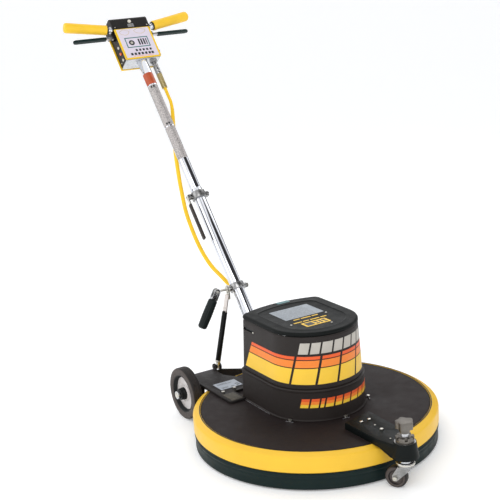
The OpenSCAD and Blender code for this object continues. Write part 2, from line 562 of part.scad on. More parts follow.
// ---- Switch levers and buttons ----
module paddle(s) {
  color("#1c2426") handle() translate([s * 76, -2, box_d + 112.5]) difference() {
    union() {
      ybar(-7, 7, 5.5);
      translate([s > 0 ? 0 : -14, -5, -4]) cube([14, 10, 8]);
      translate([s > 0 ? 10 : -148, -8, -5]) cube([138, 16, 9]);
      translate([s * 148, 0, -5]) cylinder(r = 8, h = 9);
    }
    ybar(-20, 20, 3.05);
  }
}
module switch_lever_left() { paddle(-1); }
module switch_lever_right() { paddle(1); }
module reset_button() { color("#e0502a") handle() translate([0, 4, box_d + 46]) { xbar(-70, -58, 5.3); xbar(-58, -55, 7.5); } }
module lock_button() { color("#d8d2c4") handle() translate([0, 0, box_d + 162]) { ybar(-30, -18, 6.1); ybar(-22.6, -20, 8.5); } }
module lamps() { color("#f1ede4") handle() for (z = [20, 72]) translate([0, 4, box_d + z]) xbar(-68.5, -66, 5); }

deck_shell();
bumper();
skirt();
caster_arm();
carriage_plate();
machine_screws();
spec_plate();
tread_strips();
axle();
handle_bracket();
pivot_pin();
cowl_lower();
cowl_upper();
cowl_cap();
motor_frame();
end_bells();
stator_core();
stator_windings();
motor_bearings();
run_capacitors();
pad();
pad_driver();
motor_shaft();
motor_rotor();
cooling_fan();
wheel_tyre_left();
wheel_hub_left();
wheel_tyre_right();
wheel_hub_right();
caster_stem();
adjuster_knob();
lock_nut();
caster_fork();
caster_axle();
caster_wheel();
lower_tube();
handle_yoke();
tube_clamp();
tube_clamp_lever();
strut_collar();
collar_bolt();
cam_lever();
cam_grip();
strut_rod();
upper_tube();
box_body();
box_base();
box_plates();
top_cover();
handlebar();
grips();
cable_glands();
mesh_grip();
motor_lead();
switch_lever_left();
switch_lever_right();
reset_button();
lock_button();
lamps();
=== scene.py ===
import bpy, bmesh, math
from mathutils import Vector, Matrix


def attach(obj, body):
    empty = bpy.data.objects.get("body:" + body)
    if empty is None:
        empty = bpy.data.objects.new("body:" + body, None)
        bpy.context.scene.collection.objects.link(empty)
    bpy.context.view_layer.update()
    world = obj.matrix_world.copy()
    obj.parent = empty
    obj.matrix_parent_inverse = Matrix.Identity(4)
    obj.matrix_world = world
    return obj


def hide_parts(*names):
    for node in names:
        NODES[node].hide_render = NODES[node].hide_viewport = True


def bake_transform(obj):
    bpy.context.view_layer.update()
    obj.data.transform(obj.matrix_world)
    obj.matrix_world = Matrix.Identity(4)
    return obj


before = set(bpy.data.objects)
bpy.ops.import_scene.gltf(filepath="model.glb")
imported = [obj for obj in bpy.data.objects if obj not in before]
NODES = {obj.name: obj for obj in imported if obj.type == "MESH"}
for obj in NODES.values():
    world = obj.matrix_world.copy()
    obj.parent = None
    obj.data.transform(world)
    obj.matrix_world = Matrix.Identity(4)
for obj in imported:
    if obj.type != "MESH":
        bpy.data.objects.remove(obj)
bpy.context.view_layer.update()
COL = bpy.context.scene.collection
pi = math.pi

# ------------------------------------------------------------------ frames
MM = Matrix.Scale(0.001, 4)
LEAN = math.radians(39.0)
HM = Matrix.Translation((0, 0.258, 0.165)) @ Matrix.Rotation(-LEAN, 4, "X") @ MM   # handle frame, millimetres
BOX_D = 1218.0


def rot(axis, deg):
    return Matrix.Rotation(math.radians(deg), 4, axis)


def tr(x, y, z):
    return Matrix.Translation((x, y, z))


# ------------------------------------------------------------------ camera
cam_data = bpy.data.cameras.new("camera")
cam_data.lens = 82.45
cam_data.sensor_width = 36.0
cam_data.clip_end = 400
cam = bpy.data.objects.new("camera", cam_data)
COL.objects.link(cam)
f = Vector((0.48917, 0.83280, -0.25915)).normalized()
r = Vector((0.85221, -0.51962, -0.06119))
r = (r - f * r.dot(f)).normalized()
u = r.cross(f)
cam.matrix_world = Matrix(((r.x, u.x, -f.x, -1.82934), (r.y, u.y, -f.y, -2.77650), (r.z, u.z, -f.z, 1.50742), (0, 0, 0, 1)))
bpy.context.scene.camera = cam


# ------------------------------------------------------------------ materials
class Mat:
    """A node material with a Principled shader and a few helpers."""

    def __init__(self, name, rough=0.5, metal=0.0, spec=0.5, coat=0.0, coat_rough=0.1, sheen=0.0):
        self.m = bpy.data.materials.new(name)
        self.m.use_nodes = True
        self.nt = self.m.node_tree
        self.nt.nodes.clear()
        self.out = self.nt.nodes.new("ShaderNodeOutputMaterial")
        self.b = self.nt.nodes.new("ShaderNodeBsdfPrincipled")
        self.nt.links.new(self.b.outputs[0], self.out.inputs[0])
        self.b.inputs["Roughness"].default_value = rough
        self.b.inputs["Metallic"].default_value = metal
        self.b.inputs["Specular IOR Level"].default_value = spec
        self.b.inputs["Coat Weight"].default_value = coat
        self.b.inputs["Coat Roughness"].default_value = coat_rough
        self.b.inputs["Sheen Weight"].default_value = sheen
        self.tc = self.nt.nodes.new("ShaderNodeTexCoord")
        self.height = None

    def n(self, kind, **kw):
        x = self.nt.nodes.new(kind)
        for k, v in kw.items():
            setattr(x, k, v)
        return x

    def link(self, a, b):
        self.nt.links.new(a, b)

    def coords(self, scale=(1, 1, 1), turn=(0, 0, 0)):
        mp = self.n("ShaderNodeMapping")
        mp.inputs["Scale"].default_value = scale
        mp.inputs["Rotation"].default_value = turn
        self.link(self.tc.outputs["Object"], mp.inputs["Vector"])
        return mp.outputs[0]

    def noise(self, scale, detail=4, rough=0.6, vec=None, seed=0.0, dist=0.0):
        x = self.n("ShaderNodeTexNoise", noise_dimensions="4D")
        x.inputs["Scale"].default_value = scale
        x.inputs["Detail"].default_value = detail
        x.inputs["Roughness"].default_value = rough
        x.inputs["Distortion"].default_value = dist
        x.inputs["W"].default_value = seed
        self.link(vec if vec is not None else self.tc.outputs["Object"], x.inputs["Vector"])
        return x.outputs["Fac"]

    def voronoi(self, scale, feature="F1", vec=None, rand=1.0):
        x = self.n("ShaderNodeTexVoronoi", feature=feature)
        x.inputs["Scale"].default_value = scale
        x.inputs["Randomness"].default_value = rand
        self.link(vec if vec is not None else self.tc.outputs["Object"], x.inputs["Vector"])
        return x

    def ramp(self, fac, stops):
        x = self.n("ShaderNodeValToRGB")
        el = x.color_ramp.elements
        while len(el) > 1:
            el.remove(el[-1])
        el[0].position = stops[0][0]
        el[0].color = (*stops[0][1], 1)
        for p, c in stops[1:]:
            e = el.new(p)
            e.color = (*c, 1)
        self.link(fac, x.inputs[0])
        return x.outputs[0]

    def fit(self, fac, a, b, c, d):
        x = self.n("ShaderNodeMapRange")
        for k, v in zip(("From Min", "From Max", "To Min", "To Max"), (a, b, c, d)):
            x.inputs[k].default_value = v
        self.link(fac, x.inputs["Value"])
        return x.outputs[0]

    def math(self, op, a, b):
        x = self.n("ShaderNodeMath", operation=op)
        for i, v in enumerate((a, b)):
            if isinstance(v, (int, float)):
                x.inputs[i].default_value = v
            else:
                self.link(v, x.inputs[i])
        return x.outputs[0]

    def mix(self, fac, a, b, blend="MIX"):
        x = self.n("ShaderNodeMix", data_type="RGBA", blend_type=blend)
        for i, v in ((0, fac), (6, a), (7, b)):
            if isinstance(v, (int, float)):
                x.inputs[i].default_value = v
            elif isinstance(v, tuple):
                x.inputs[i].default_value = (*v, 1)
            else:
                self.link(v, x.inputs[i])
        return x.outputs[2]

    def color(self, sock):
        self.link(sock, self.b.inputs["Base Color"])
        return self

    def rough(self, sock):
        self.link(sock, self.b.inputs["Roughness"])
        return self

    def bump(self, h, dist=0.0003, strength=1.0):
        x = self.n("ShaderNodeBump")
        x.inputs["Distance"].default_value = dist
        x.inputs["Strength"].default_value = strength
        self.link(h, x.inputs["Height"])
        if self.height is not None:
            self.link(self.height, x.inputs["Normal"])
        self.height = x.outputs[0]
        self.link(self.height, self.b.inputs["Normal"])
        return self


def sc(c, k):
    return tuple(min(1.0, x * k) for x in c)


def paint(name, c, rough=0.5, var=0.18, vscale=14, grain=900, gdist=0.00015, gstr=0.5, metal=0.0, spec=0.5, coat=0.0, wear=None, rvar=0.12, sheen=0.0, seed=1.0):
    """Painted, moulded or cast surface: mottled colour, varied roughness, fine grain, lighter worn edges."""
    k = Mat(name, rough, metal, spec, coat, 0.12, sheen)
    big = k.noise(vscale, 5, 0.65, seed=seed)
    fine = k.noise(grain, 2, 0.6, seed=seed + 3)
    col = k.ramp(big, [(0.3, sc(c, 1 - var)), (0.7, sc(c, 1 + var))])
    if wear:
        geo = k.n("ShaderNodeNewGeometry")
        e = k.fit(geo.outputs["Pointiness"], 0.515, 0.56, 0.0, 1.0)
        patch = k.fit(k.noise(120, 4, 0.7, seed=seed + 7), 0.45, 0.62, 0.0, 1.0)
        col = k.mix(k.math("MULTIPLY", e, patch), col, wear)
    k.color(col)
    k.rough(k.fit(k.noise(vscale * 3.1, 4, 0.6, seed=seed + 5), 0.3, 0.7, rough - rvar, rough + rvar))
    k.bump(fine, gdist, gstr)
    return k


def metal(name, c, rough=0.25, var=0.1, stretch=(1, 1, 1), bstr=0.25, dull=None, seed=2.0, scale=60):
    """Bare metal with brushed or cast texture and faint tarnish."""
    k = Mat(name, rough, 1.0)
    v = k.coords(stretch)
    a = k.noise(scale, 6, 0.7, v, seed)
    b = k.noise(18, 4, 0.6, None, seed + 4)
    col = k.ramp(a, [(0.3, sc(c, 1 - var)), (0.7, sc(c, 1 + var * 0.6))])
    if dull:
        col = k.mix(k.fit(b, 0.5, 0.75, 0.0, 0.8), col, dull)
    k.color(col)
    k.rough(k.fit(k.math("MULTIPLY", a, b), 0.1, 0.45, max(0.03, rough * 0.6), rough * 1.5))
    k.bump(a, 0.00012, bstr)
    return k


DECK = paint("deck_powder_coat", (0.015, 0.0095, 0.009), 0.62, 0.07, 9, 1500, 0.0005, 0.8, spec=0.26, rvar=0.06, seed=1.3)
YELLOW = paint("bumper_yellow", (0.88, 0.53, 0.036), 0.42, 0.04, 6, 500, 0.00008, 0.4, spec=0.35, rvar=0.08, seed=2.1)
RUBBER = paint("skirt_rubber", (0.0015, 0.011, 0.0105), 0.5, 0.15, 12, 700, 0.0002, 0.5, spec=0.2, rvar=0.08, seed=3.1)
BLACK = paint("black_enamel", (0.005, 0.0055, 0.0055), 0.42, 0.12, 20, 900, 0.0002, 0.35, spec=0.25, rvar=0.08, seed=4.2)
ARMB = paint("arm_enamel", (0.004, 0.006, 0.0058), 0.5, 0.1, 20, 900, 0.0002, 0.4, spec=0.14, rvar=0.06, seed=4.6)
CARR = paint("carriage_powder_coat", (0.012, 0.0095, 0.009), 0.55, 0.1, 16, 1200, 0.0003, 0.6, spec=0.28, rvar=0.07, seed=5.2)
COWL = paint("cowl_moulding", (0.017, 0.0125, 0.011), 0.5, 0.06, 11, 1300, 0.0003, 0.55, spec=0.3, rvar=0.05, seed=6.1)
COWLTOP = paint("cowl_cap_moulding", (0.003, 0.0045, 0.0042), 0.5, 0.08, 11, 1300, 0.0003, 0.5, spec=0.14, rvar=0.06, seed=6.6)
ZINC = metal("zinc_plate", (0.68, 0.66, 0.6), 0.32, 0.15, dull=(0.38, 0.36, 0.3), seed=1.1)
STEEL = metal("bright_steel", (0.62, 0.63, 0.65), 0.26, 0.14, (1, 1, 8), 0.3, dull=(0.3, 0.3, 0.3), seed=1.7)
CHROME = metal("chrome", (0.80, 0.82, 0.87), 0.07, 0.05, (1, 1, 1), 0.04, dull=(0.62, 0.62, 0.66), seed=2.7, scale=9)
CASTG = metal("cast_grey", (0.4, 0.4, 0.41), 0.42, 0.25, bstr=0.7, dull=(0.2, 0.2, 0.2), seed=3.7, scale=240)
KNOBM = metal("knob_cast", (0.2, 0.185, 0.165), 0.45, 0.2, bstr=0.7, dull=(0.12, 0.11, 0.1), seed=3.9, scale=240)
STRIP = metal("strut_strip_bright", (0.84, 0.78, 0.74), 0.4, 0.06, bstr=0.3, seed=3.2, scale=120)
DARKM = metal("dark_clamp_metal", (0.36, 0.36, 0.36), 0.3, 0.3, bstr=0.5, dull=(0.14, 0.14, 0.13), seed=4.7, scale=160)
ALU = metal("satin_aluminium", (0.62, 0.62, 0.65), 0.36, 0.1, (40, 1, 1), 0.4, dull=(0.42, 0.42, 0.44), seed=5.7, scale=30)
NICKEL = metal("gland_nickel", (0.42, 0.42, 0.42), 0.22, 0.2, dull=(0.2, 0.19, 0.18), seed=6.7)
COPPER = metal("winding_copper", (0.75, 0.33, 0.12), 0.35, 0.25, (1, 1, 30), 0.9, seed=7.7, scale=90)
LAMS = metal("stator_laminations", (0.35, 0.36, 0.38), 0.4, 0.3, (1, 1, 60), 1.0, seed=8.7, scale=40)
MPAINT = paint("motor_enamel", (0.11, 0.12, 0.13), 0.4, 0.15, 20, 700, 0.0003, 0.5, seed=9.2)
DRIVER = paint("driver_moulding", (0.03, 0.032, 0.034), 0.5, 0.2, 18, 600, 0.0003, 0.6, seed=9.9)
TYRE = paint("tyre_rubber", (0.02, 0.017, 0.016), 0.6, 0.12, 22, 800, 0.0004, 0.7, spec=0.3, seed=10.3)
k = TYRE
geo = k.n("ShaderNodeNewGeometry")
sx = k.n("ShaderNodeSeparateXYZ")
k.link(geo.outputs["Normal"], sx.inputs[0])
side = k.fit(k.math("ABSOLUTE", sx.outputs[0], 0.0), 0.62, 0.76, 0.0, 1.0)
src = k.b.inputs["Base Color"].links[0].from_socket
k.color(k.mix(side, src, k.ramp(k.noise(30, 4, 0.6, seed=10.9), [(0.3, (0.062, 0.05, 0.046)), (0.7, (0.082, 0.068, 0.062))])))
HUBS = paint("hub_silver", (0.60, 0.565, 0.55), 0.34, 0.05, 9, 300, 0.00004, 0.12, metal=0.35, rvar=0.05, seed=11.3)
GRIPB = paint("grip_black_rubber", (0.004, 0.009, 0.009), 0.46, 0.15, 24, 900, 0.0004, 0.6, spec=0.25, seed=12.3)
BOXB = paint("switch_box_black", (0.010, 0.0085, 0.0085), 0.42, 0.12, 24, 1300, 0.0003, 0.6, spec=0.28, seed=13.3)
PLATEY = paint("plate_yellow_enamel", (0.93, 0.60, 0.02), 0.3, 0.05, 20, 400, 0.00006, 0.3, coat=0.3, seed=14.3)
GRIPY = paint("grip_yellow_vinyl", (0.95, 0.59, 0.035), 0.4, 0.05, 16, 900, 0.0002, 0.4, spec=0.35, seed=15.3)
PADDLE = paint("paddle_black", (0.003, 0.016, 0.015), 0.34, 0.15, 24, 900, 0.0002, 0.4, spec=0.25, seed=16.3)
LEAD = paint("lead_jacket", (0.95, 0.59, 0.02), 0.42, 0.05, 22, 900, 0.00015, 0.4, spec=0.3, seed=17.3)
RED = paint("button_red", (0.72, 0.11, 0.03), 0.3, 0.08, 60, 900, 0.0001, 0.3, coat=0.4, seed=18.3)
WHITE = paint("button_white", (0.72, 0.68, 0.6), 0.35, 0.06, 60, 900, 0.0001, 0.3, coat=0.3, seed=19.3)
INK = paint("print_dark", (0.012, 0.016, 0.017), 0.4, 0.2, 60, 900, 0.00005, 0.2, seed=20.3)
TEAL = paint("print_teal", (0.02, 0.16, 0.15), 0.4, 0.2, 60, 900, 0.00005, 0.2, seed=20.9)
STR_Y = paint("stripe_yellow", (0.96, 0.60, 0.045), 0.4, 0.05, 10, 900, 0.00008, 0.3, spec=0.4, seed=21.3)
STR_O = paint("stripe_orange", (0.93, 0.25, 0.03), 0.4, 0.06, 10, 900, 0.00008, 0.3, spec=0.4, seed=22.3)
STR_R = paint("stripe_red_orange", (0.86, 0.115, 0.02), 0.4, 0.06, 10, 900, 0.00008, 0.3, spec=0.4, seed=23.3)
STR_G = paint("stripe_pale_grey", (0.5, 0.47, 0.42), 0.42, 0.08, 20, 900, 0.00008, 0.3, seed=24.3)
LILAC = paint("label_lilac_white", (0.72, 0.66, 0.76), 0.4, 0.04, 40, 900, 0.00005, 0.3, seed=25.3)
STICK = paint("sticker_orange_red", (0.45, 0.07, 0.015), 0.38, 0.12, 40, 900, 0.00008, 0.4, coat=0.3, seed=26.3)

# hub dish: three radial creases are geometry; its bump is a fine noise grain
# speckled anti-slip strip
k = Mat("tread_grit", 0.75)
v = k.voronoi(520)
g = k.ramp(v.outputs["Distance"], [(0.0, (0.42, 0.37, 0.26)), (0.28, (0.16, 0.14, 0.1)), (0.6, (0.03, 0.028, 0.025))])
k.color(k.mix(k.fit(k.noise(60, 4), 0.4, 0.7, 0, 0.6), g, (0.05, 0.047, 0.04)))
k.bump(v.outputs["Distance"], 0.0006, 0.9)
GRIT = k
# silver foil covered in fine dark flecks, as a data label reads from afar
def foil(name, base, fleck, scale, amount, seed):
    k = Mat(name, 0.42, 0.25)
    a = k.noise(scale, 3, 0.75, k.coords((1.0, 1.0, 1.0)), seed)
    c = k.ramp(a, [(amount - 0.06, fleck), (amount + 0.03, base)])
    c = k.mix(k.fit(k.noise(16, 4, seed=seed + 2), 0.35, 0.7, 0, 0.5), c, sc(base, 0.8))
    k.color(c)
    k.bump(k.noise(300, 3, seed=seed + 1), 0.0001, 0.3)
    k.rough(k.fit(k.noise(40, 3, seed=seed + 3), 0.3, 0.7, 0.3, 0.55))
    return k
FOIL_BLUE = foil("foil_label_blue", (0.42, 0.46, 0.52), (0.2, 0.22, 0.25), 60, 0.38, 1.0)
FOIL_TUBE = foil("foil_label_tube", (0.62, 0.58, 0.56), (0.12, 0.11, 0.12), 420, 0.5, 2.0)
FOIL_GREY = foil("foil_label_grey", (0.36, 0.40, 0.44), (0.16, 0.18, 0.2), 160, 0.42, 3.0)
FOIL_TEAL = foil("foil_label_teal", (0.12, 0.26, 0.27), (0.05, 0.12, 0.13), 120, 0.4, 4.0)
# polishing pad: non-woven fibres
k = Mat("pad_fibre", 0.95, sheen=0.3)
fb = k.noise(260, 8, 0.8, k.coords((1, 1, 3)), 1.5, dist=1.5)
k.color(k.ramp(fb, [(0.3, (0.4, 0.36, 0.26)), (0.5, (0.62, 0.57, 0.45)), (0.75, (0.8, 0.76, 0.65))]))
k.bump(fb, 0.002, 1.0)
PAD = k
# woven wire of the cable grip
k = Mat("wire_brass", 0.3, 1.0)
k.color(k.ramp(k.noise(300, 3, seed=3), [(0.3, (0.42, 0.33, 0.13)), (0.7, (0.72, 0.62, 0.36))]))
k.bump(k.noise(900, 2, seed=4), 0.00005, 0.3)
WIRE = k
# pale floor
k = Mat("floor_pale", 0.85, spec=0.2)
k.color(k.ramp(k.noise(3, 4, seed=1), [(0.3, (0.93, 0.945, 0.95)), (0.7, (0.95, 0.96, 0.965))]))
k.bump(k.noise(300, 2, seed=2), 0.00005, 0.1)
k.b.inputs["Emission Color"].default_value = (1, 1, 1, 1)
k.b.inputs["Emission Strength"].default_value = 0.2
FLOOR = k


# ------------------------------------------------------------------ mesh tools
def shade(me, angle=32):
    bm = bmesh.new()
    bm.from_mesh(me)
    lim = math.radians(angle)
    for fc in bm.faces:
        fc.smooth = True
    for e in bm.edges:
        e.smooth = len(e.link_faces) == 2 and e.calc_face_angle(0) < lim
    bm.to_mesh(me)
    bm.free()


def put(name, verts, faces, m, body, mat=MM, angle=32, slot=None, bevel=0, seg=2, fixn=True):
    me = bpy.data.meshes.new(name)
    me.from_pydata([tuple(mat @ Vector(v)) for v in verts], [], [tuple(x) for x in faces])
    me.validate()
    me.update()
    if fixn:
        bm = bmesh.new()
        bm.from_mesh(me)
        bmesh.ops.recalc_face_normals(bm, faces=bm.faces)
        bm.to_mesh(me)
        bm.free()
    shade(me, angle)
    o = bpy.data.objects.new(name, me)
    COL.objects.link(o)
    me.materials.append(m.m)
    if bevel:
        b = o.modifiers.new("bevel", "BEVEL")
        b.width = bevel * 0.001
        b.segments = seg
        b.limit_method = "ANGLE"
        b.angle_limit = math.radians(30)
        b.harden_normals = True
        b.use_clamp_overlap = True
    if body:
        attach(o, body)
    return o


def lathe_data(prof, n, closed=False, wob=None):
    """Rings of n points for each (r, z); profile ends with r=0 close as poles."""
    V, F, idx = [], [], []
    for i, (rr, z) in enumerate(prof):
        if rr < 1e-6:
            idx.append([len(V)])
            V.append((0, 0, z))
        else:
            idx.append(list(range(len(V), len(V) + n)))
            for j in range(n):
                a = 2 * pi * j / n
                q = rr * (wob(i, a, z) if wob else 1.0)
                V.append((q * math.cos(a), q * math.sin(a), z))
    m = len(prof)
    for i in range(m if closed else m - 1):
        a, b = idx[i], idx[(i + 1) % m]
        if len(a) == 1 and len(b) == 1:
            continue
        for j in range(n):
            j2 = (j + 1) % n
            if len(a) == 1:
                F.append((a[0], b[j], b[j2]))
            elif len(b) == 1:
                F.append((a[j], b[0], a[j2]))
            else:
                F.append((a[j], b[j], b[j2], a[j2]))
    return V, F


def lathe(name, prof, n, m, body, mat=MM, closed=False, angle=32, slot=None, wob=None):
    V, F = lathe_data(prof, n, closed, wob)
    return put(name, V, F, m, body, mat, angle, slot)


def cylp(r, z0, z1, b=0.6):
    return [(0, z0), (r - b, z0), (r - b * 0.3, z0 + b * 0.3), (r, z0 + b), (r, z1 - b), (r - b * 0.3, z1 - b * 0.3), (r - b, z1), (0, z1)]


def ringp(ri, ro, z0, z1, b=0.5):
    return [(ri, z0 + b), (ri + b, z0), (ro - b, z0), (ro, z0 + b), (ro, z1 - b), (ro - b, z1), (ri + b, z1), (ri, z1 - b)]


def prism(name, poly, z0, z1, m, body, mat=MM, bevel=0.6, seg=2, slot=None, angle=32):
    n = len(poly)
    V = [(x, y, z0) for x, y in poly] + [(x, y, z1) for x, y in poly]
    F = [tuple(range(n - 1, -1, -1)), tuple(range(n, 2 * n))] + [(i, (i + 1) % n, n + (i + 1) % n, n + i) for i in range(n)]
    return put(name, V, F, m, body, mat, angle, slot, bevel, seg)


def block(name, lo, hi, m, body, mat=MM, bevel=0.6, seg=2, slot=None):
    return prism(name, [(lo[0], lo[1]), (hi[0], lo[1]), (hi[0], hi[1]), (lo[0], hi[1])], lo[2], hi[2], m, body, mat, bevel, seg, slot)


def hexa(af, z0, z1, ch=0.8):
    """Hex head data with a turned chamfer on top."""
    R = af / 2 / math.cos(pi / 6)
    V, F = [], []
    for z, k2 in ((z0, 1.0), (z1 - ch, 1.0), (z1, 0.9)):
        for j in range(12):
            a = pi / 6 * j
            rr = R if j % 2 == 0 else af / 2
            V.append((rr * k2 * math.cos(a) if z < z1 else af / 2 * 0.94 * math.cos(a), rr * k2 * math.sin(a) if z < z1 else af / 2 * 0.94 * math.sin(a), z))
    V.append((0, 0, z0)); V.append((0, 0, z1))
    for i in range(2):
        for j in range(12):
            F.append((12 * i + j, 12 * i + (j + 1) % 12, 12 * i + 12 + (j + 1) % 12, 12 * i + 12 + j))
    for j in range(12):
        F.append((36, (j + 1) % 12, j)); F.append((37, 24 + j, 24 + (j + 1) % 12))
    return V, F


def sweep_data(pts, rad, n=12, caps=True, up=Vector((1, 0, 0))):
    """Round tube along points, with a frame carried along. rad is a number or a list."""
    P = [Vector(p) for p in pts]
    m = len(P)
    R = rad if isinstance(rad, (list, tuple)) else [rad] * m
    V, F = [], []
    t0 = (P[1] - P[0]).normalized()
    u0 = (up - t0 * up.dot(t0)).normalized()
    for i in range(m):
        t = (P[min(i + 1, m - 1)] - P[max(i - 1, 0)]).normalized()
        u0 = (u0 - t * u0.dot(t)).normalized()
        w = t.cross(u0)
        for j in range(n):
            a = 2 * pi * j / n
            V.append(tuple(P[i] + R[i] * (u0 * math.cos(a) + w * math.sin(a))))
    for i in range(m - 1):
        for j in range(n):
            F.append((i * n + j, i * n + (j + 1) % n, (i + 1) * n + (j + 1) % n, (i + 1) * n + j))
    if caps:
        F.append(tuple(range(n - 1, -1, -1)))
        F.append(tuple((m - 1) * n + j for j in range(n)))
    return V, F


def sweep(name, pts, rad, m, body, mat=MM, n=12, slot=None, caps=True, up=Vector((1, 0, 0))):
    V, F = sweep_data(pts, rad, n, caps, up)
    return put(name, V, F, m, body, mat, 50, slot)


def merge(parts):
    V, F = [], []
    for v, f2 in parts:
        o = len(V)
        V += list(v)
        F += [tuple(i + o for i in x) for x in f2]
    return V, F


def moved(data, mat):
    v, f2 = data
    return [tuple(mat @ Vector(p)) for p in v], f2


# ------------------------------------------------------------------ the motor lead, first
CORD = [(45, 1013, 1097), (45, 983, 1060), (45, 950, 1020), (45, 925, 989), (45, 912, 973), (42, 898, 948), (33, 880, 913), (22, 861, 873), (10, 839, 833),
        (0, 815, 786), (-8, 788, 716), (-8, 776, 665), (-8, 757, 602), (-8, 727, 551), (-6, 692, 501), (-2, 655, 458), (4, 612, 422), (14, 560, 392),
        (24, 512, 360), (32, 470, 318), (40, 432, 270), (50, 390, 228), (60, 340, 196), (68, 290, 178), (72, 250, 170), (72, 205, 170)]


def smooth_path(pts, k=6):
    P = [Vector(p) for p in pts]
    out = []
    for i in range(len(P) - 1):
        a, b, c, d = P[max(i - 1, 0)], P[i], P[i + 1], P[min(i + 2, len(P) - 1)]
        for j in range(k):
            t = j / k
            out.append(0.5 * ((2 * b) + (c - a) * t + (2 * a - 5 * b + 4 * c - d) * t * t + (3 * b - a - 3 * c + d) * t ** 3))
    out.append(P[-1])
    return out


path = smooth_path(CORD, 6)
V, F = sweep_data(path, [5.75 + 1.35 * max(0.0, min(1.0, (i - 26) / 10, (len(path) - 15 - i) / 12)) for i in range(len(path))], 20)
lead = put("lead_cable", V, F, LEAD, None, MM, 50, "lead_yellow")
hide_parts("motor_lead")
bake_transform(lead)


# ------------------------------------------------------------------ carried-over CAD nodes
def dress(node, m, bevel=0.0, seg=2, angle=32, weld=True):
    """A CAD node keeps its mesh; it gets a material, smooth shading and a fine edge radius."""
    o = NODES[node]
    o.data.materials.clear()
    o.data.materials.append(m.m)
    me = o.data
    if not weld and not bevel:
        shade(me, angle)
        return o
    w = o.modifiers.new("weld", "WELD")
    w.merge_threshold = 0.00001
    for p in me.polygons:
        p.use_smooth = True
    if bevel:
        b = o.modifiers.new("bevel", "BEVEL")
        b.width = bevel * 0.001
        b.segments = seg
        b.limit_method = "ANGLE"
        b.angle_limit = math.radians(angle)
        b.use_clamp_overlap = True
        b.harden_normals = False
    s = o.modifiers.new("split", "EDGE_SPLIT")
    s.split_angle = math.radians(angle + 6)
    s.use_edge_sharp = False
    return o


dress("deck_shell", DECK, 1.2)
dress("caster_arm", ARMB, 1.2)
dress("carriage_plate", CARR, 1.0)
dress("machine_screws", ZINC, 0.5)
dress("spec_plate", FOIL_BLUE, 0.3)
dress("tread_strips", GRIT, 0.4)
dress("axle", STEEL, 1.2)
dress("handle_bracket", CARR, 1.0)
dress("pivot_pin", STEEL, 0.8)
dress("motor_frame", MPAINT, 1.0)
dress("end_bells", CASTG, 0.8)
dress("stator_core", LAMS, 0.4)
dress("stator_windings", COPPER, 3.0)
dress("motor_bearings", STEEL, 0.6)
dress("run_capacitors", ALU, 0.8)
dress("pad_driver", DRIVER, 1.0)
dress("motor_shaft", STEEL, 0.8)
dress("motor_rotor", CASTG, 0.8)
dress("cooling_fan", DRIVER, 0.6)
dress("caster_stem", STEEL, 0.8)
dress("adjuster_knob", KNOBM, 2.2, 3)
dress("lock_nut", KNOBM, 1.2)
dress("caster_fork", DARKM, 0.8)
dress("caster_axle", ZINC, 0.5)
dress("lower_tube", CHROME, 0.5)
dress("upper_tube", CHROME, 0.4)
dress("handle_yoke", STEEL, 0.8)
dress("tube_clamp", DARKM, 0.8)
dress("strut_collar", DARKM, 1.0)
dress("collar_bolt", ZINC, 0.6)
dress("cam_lever", STEEL, 0.8)
dress("box_body", BOXB, 0.8)
dress("box_base", STEEL, 0.8)
dress("handlebar", CHROME, 0.6)
dress("reset_button", RED, 0.5)
dress("lock_button", WHITE, 0.5)
dress("lamps", WHITE, 0.8)

# ------------------------------------------------------------------ deck
lathe("bumper_band", [(357.2, 56), (374, 56), (378.5, 56.8), (380.4, 58.6), (381, 61.5), (381, 101), (380.6, 104), (379, 106.6), (376, 108.4), (368, 111.6), (363.6, 113.4), (361.4, 114.3), (360.8, 115.3), (360, 116), (357.2, 116)], 256, YELLOW, "base", slot="bumper_yellow", closed=True, angle=40)
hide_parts("bumper")
lathe("deck_rim_bead", [(357.4, 114.6), (358.2, 116.4), (359.4, 117.1), (360.6, 116.6), (361.2, 115.4), (360.4, 114.2)], 256, BLACK, "base", closed=True, angle=60)
lathe("dust_skirt", [(357.8, 51.2), (372, 51.2), (372, 49), (373.2, 7), (374.2, 5.2), (377, 5.2), (378, 6.6), (378, 12), (377.4, 14), (377.4, 30), (378.2, 34), (377, 38.2), (377.2, 40.2), (379.2, 42.4), (380, 45.2), (379.4, 48.6), (377.6, 50.6), (377.4, 52), (379, 53.4), (379.4, 55.8), (357.8, 55.8)], 256, RUBBER, "base", slot="skirt_rubber", closed=True, angle=50)
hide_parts("skirt")


def pad_wob(i, a, z):
    return 1.0 + (0.0012 * math.sin(37 * a + 1.3 * i) + 0.0009 * math.sin(91 * a + 2.1 * i)) * (1 if i > 2 else 0)


pad = lathe("polishing_pad", [(0, 0.0), (45, 0.0), (200, 0.0), (334, 0.0), (339, 0.8), (341.8, 3), (342.6, 7), (342.2, 12), (342.6, 17), (342, 21), (340, 24.2), (336, 25), (200, 25), (0, 25)], 200, PAD, "pad_assembly", slot="pad_fibre", wob=pad_wob, angle=60)
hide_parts("pad")


# ------------------------------------------------------------------ cowl
LOW1 = (158, 0, 153, 182)
UP0 = (153, 0, 148, 179.5)
LEVELS = [(116, (160, 0, 156, 184)), (211, LOW1), (216, UP0), (379, (143.7, -7.5, 129.4, 180)), (390, (143, -8, 128, 180))]
PANEL = (106, -10, 92, 150)


def section(z):
    """Half width, centre of the rounded front, its depth and the rear corners of the cowl at a height."""
    if z <= LEVELS[0][0]:
        return LEVELS[0][1]
    for (z0, a), (z1, b) in zip(LEVELS, LEVELS[1:]):
        if z <= z1:
            t = (z - z0) / (z1 - z0)
            return tuple(x + (y - x) * t for x, y in zip(a, b))
    return LEVELS[-1][1]


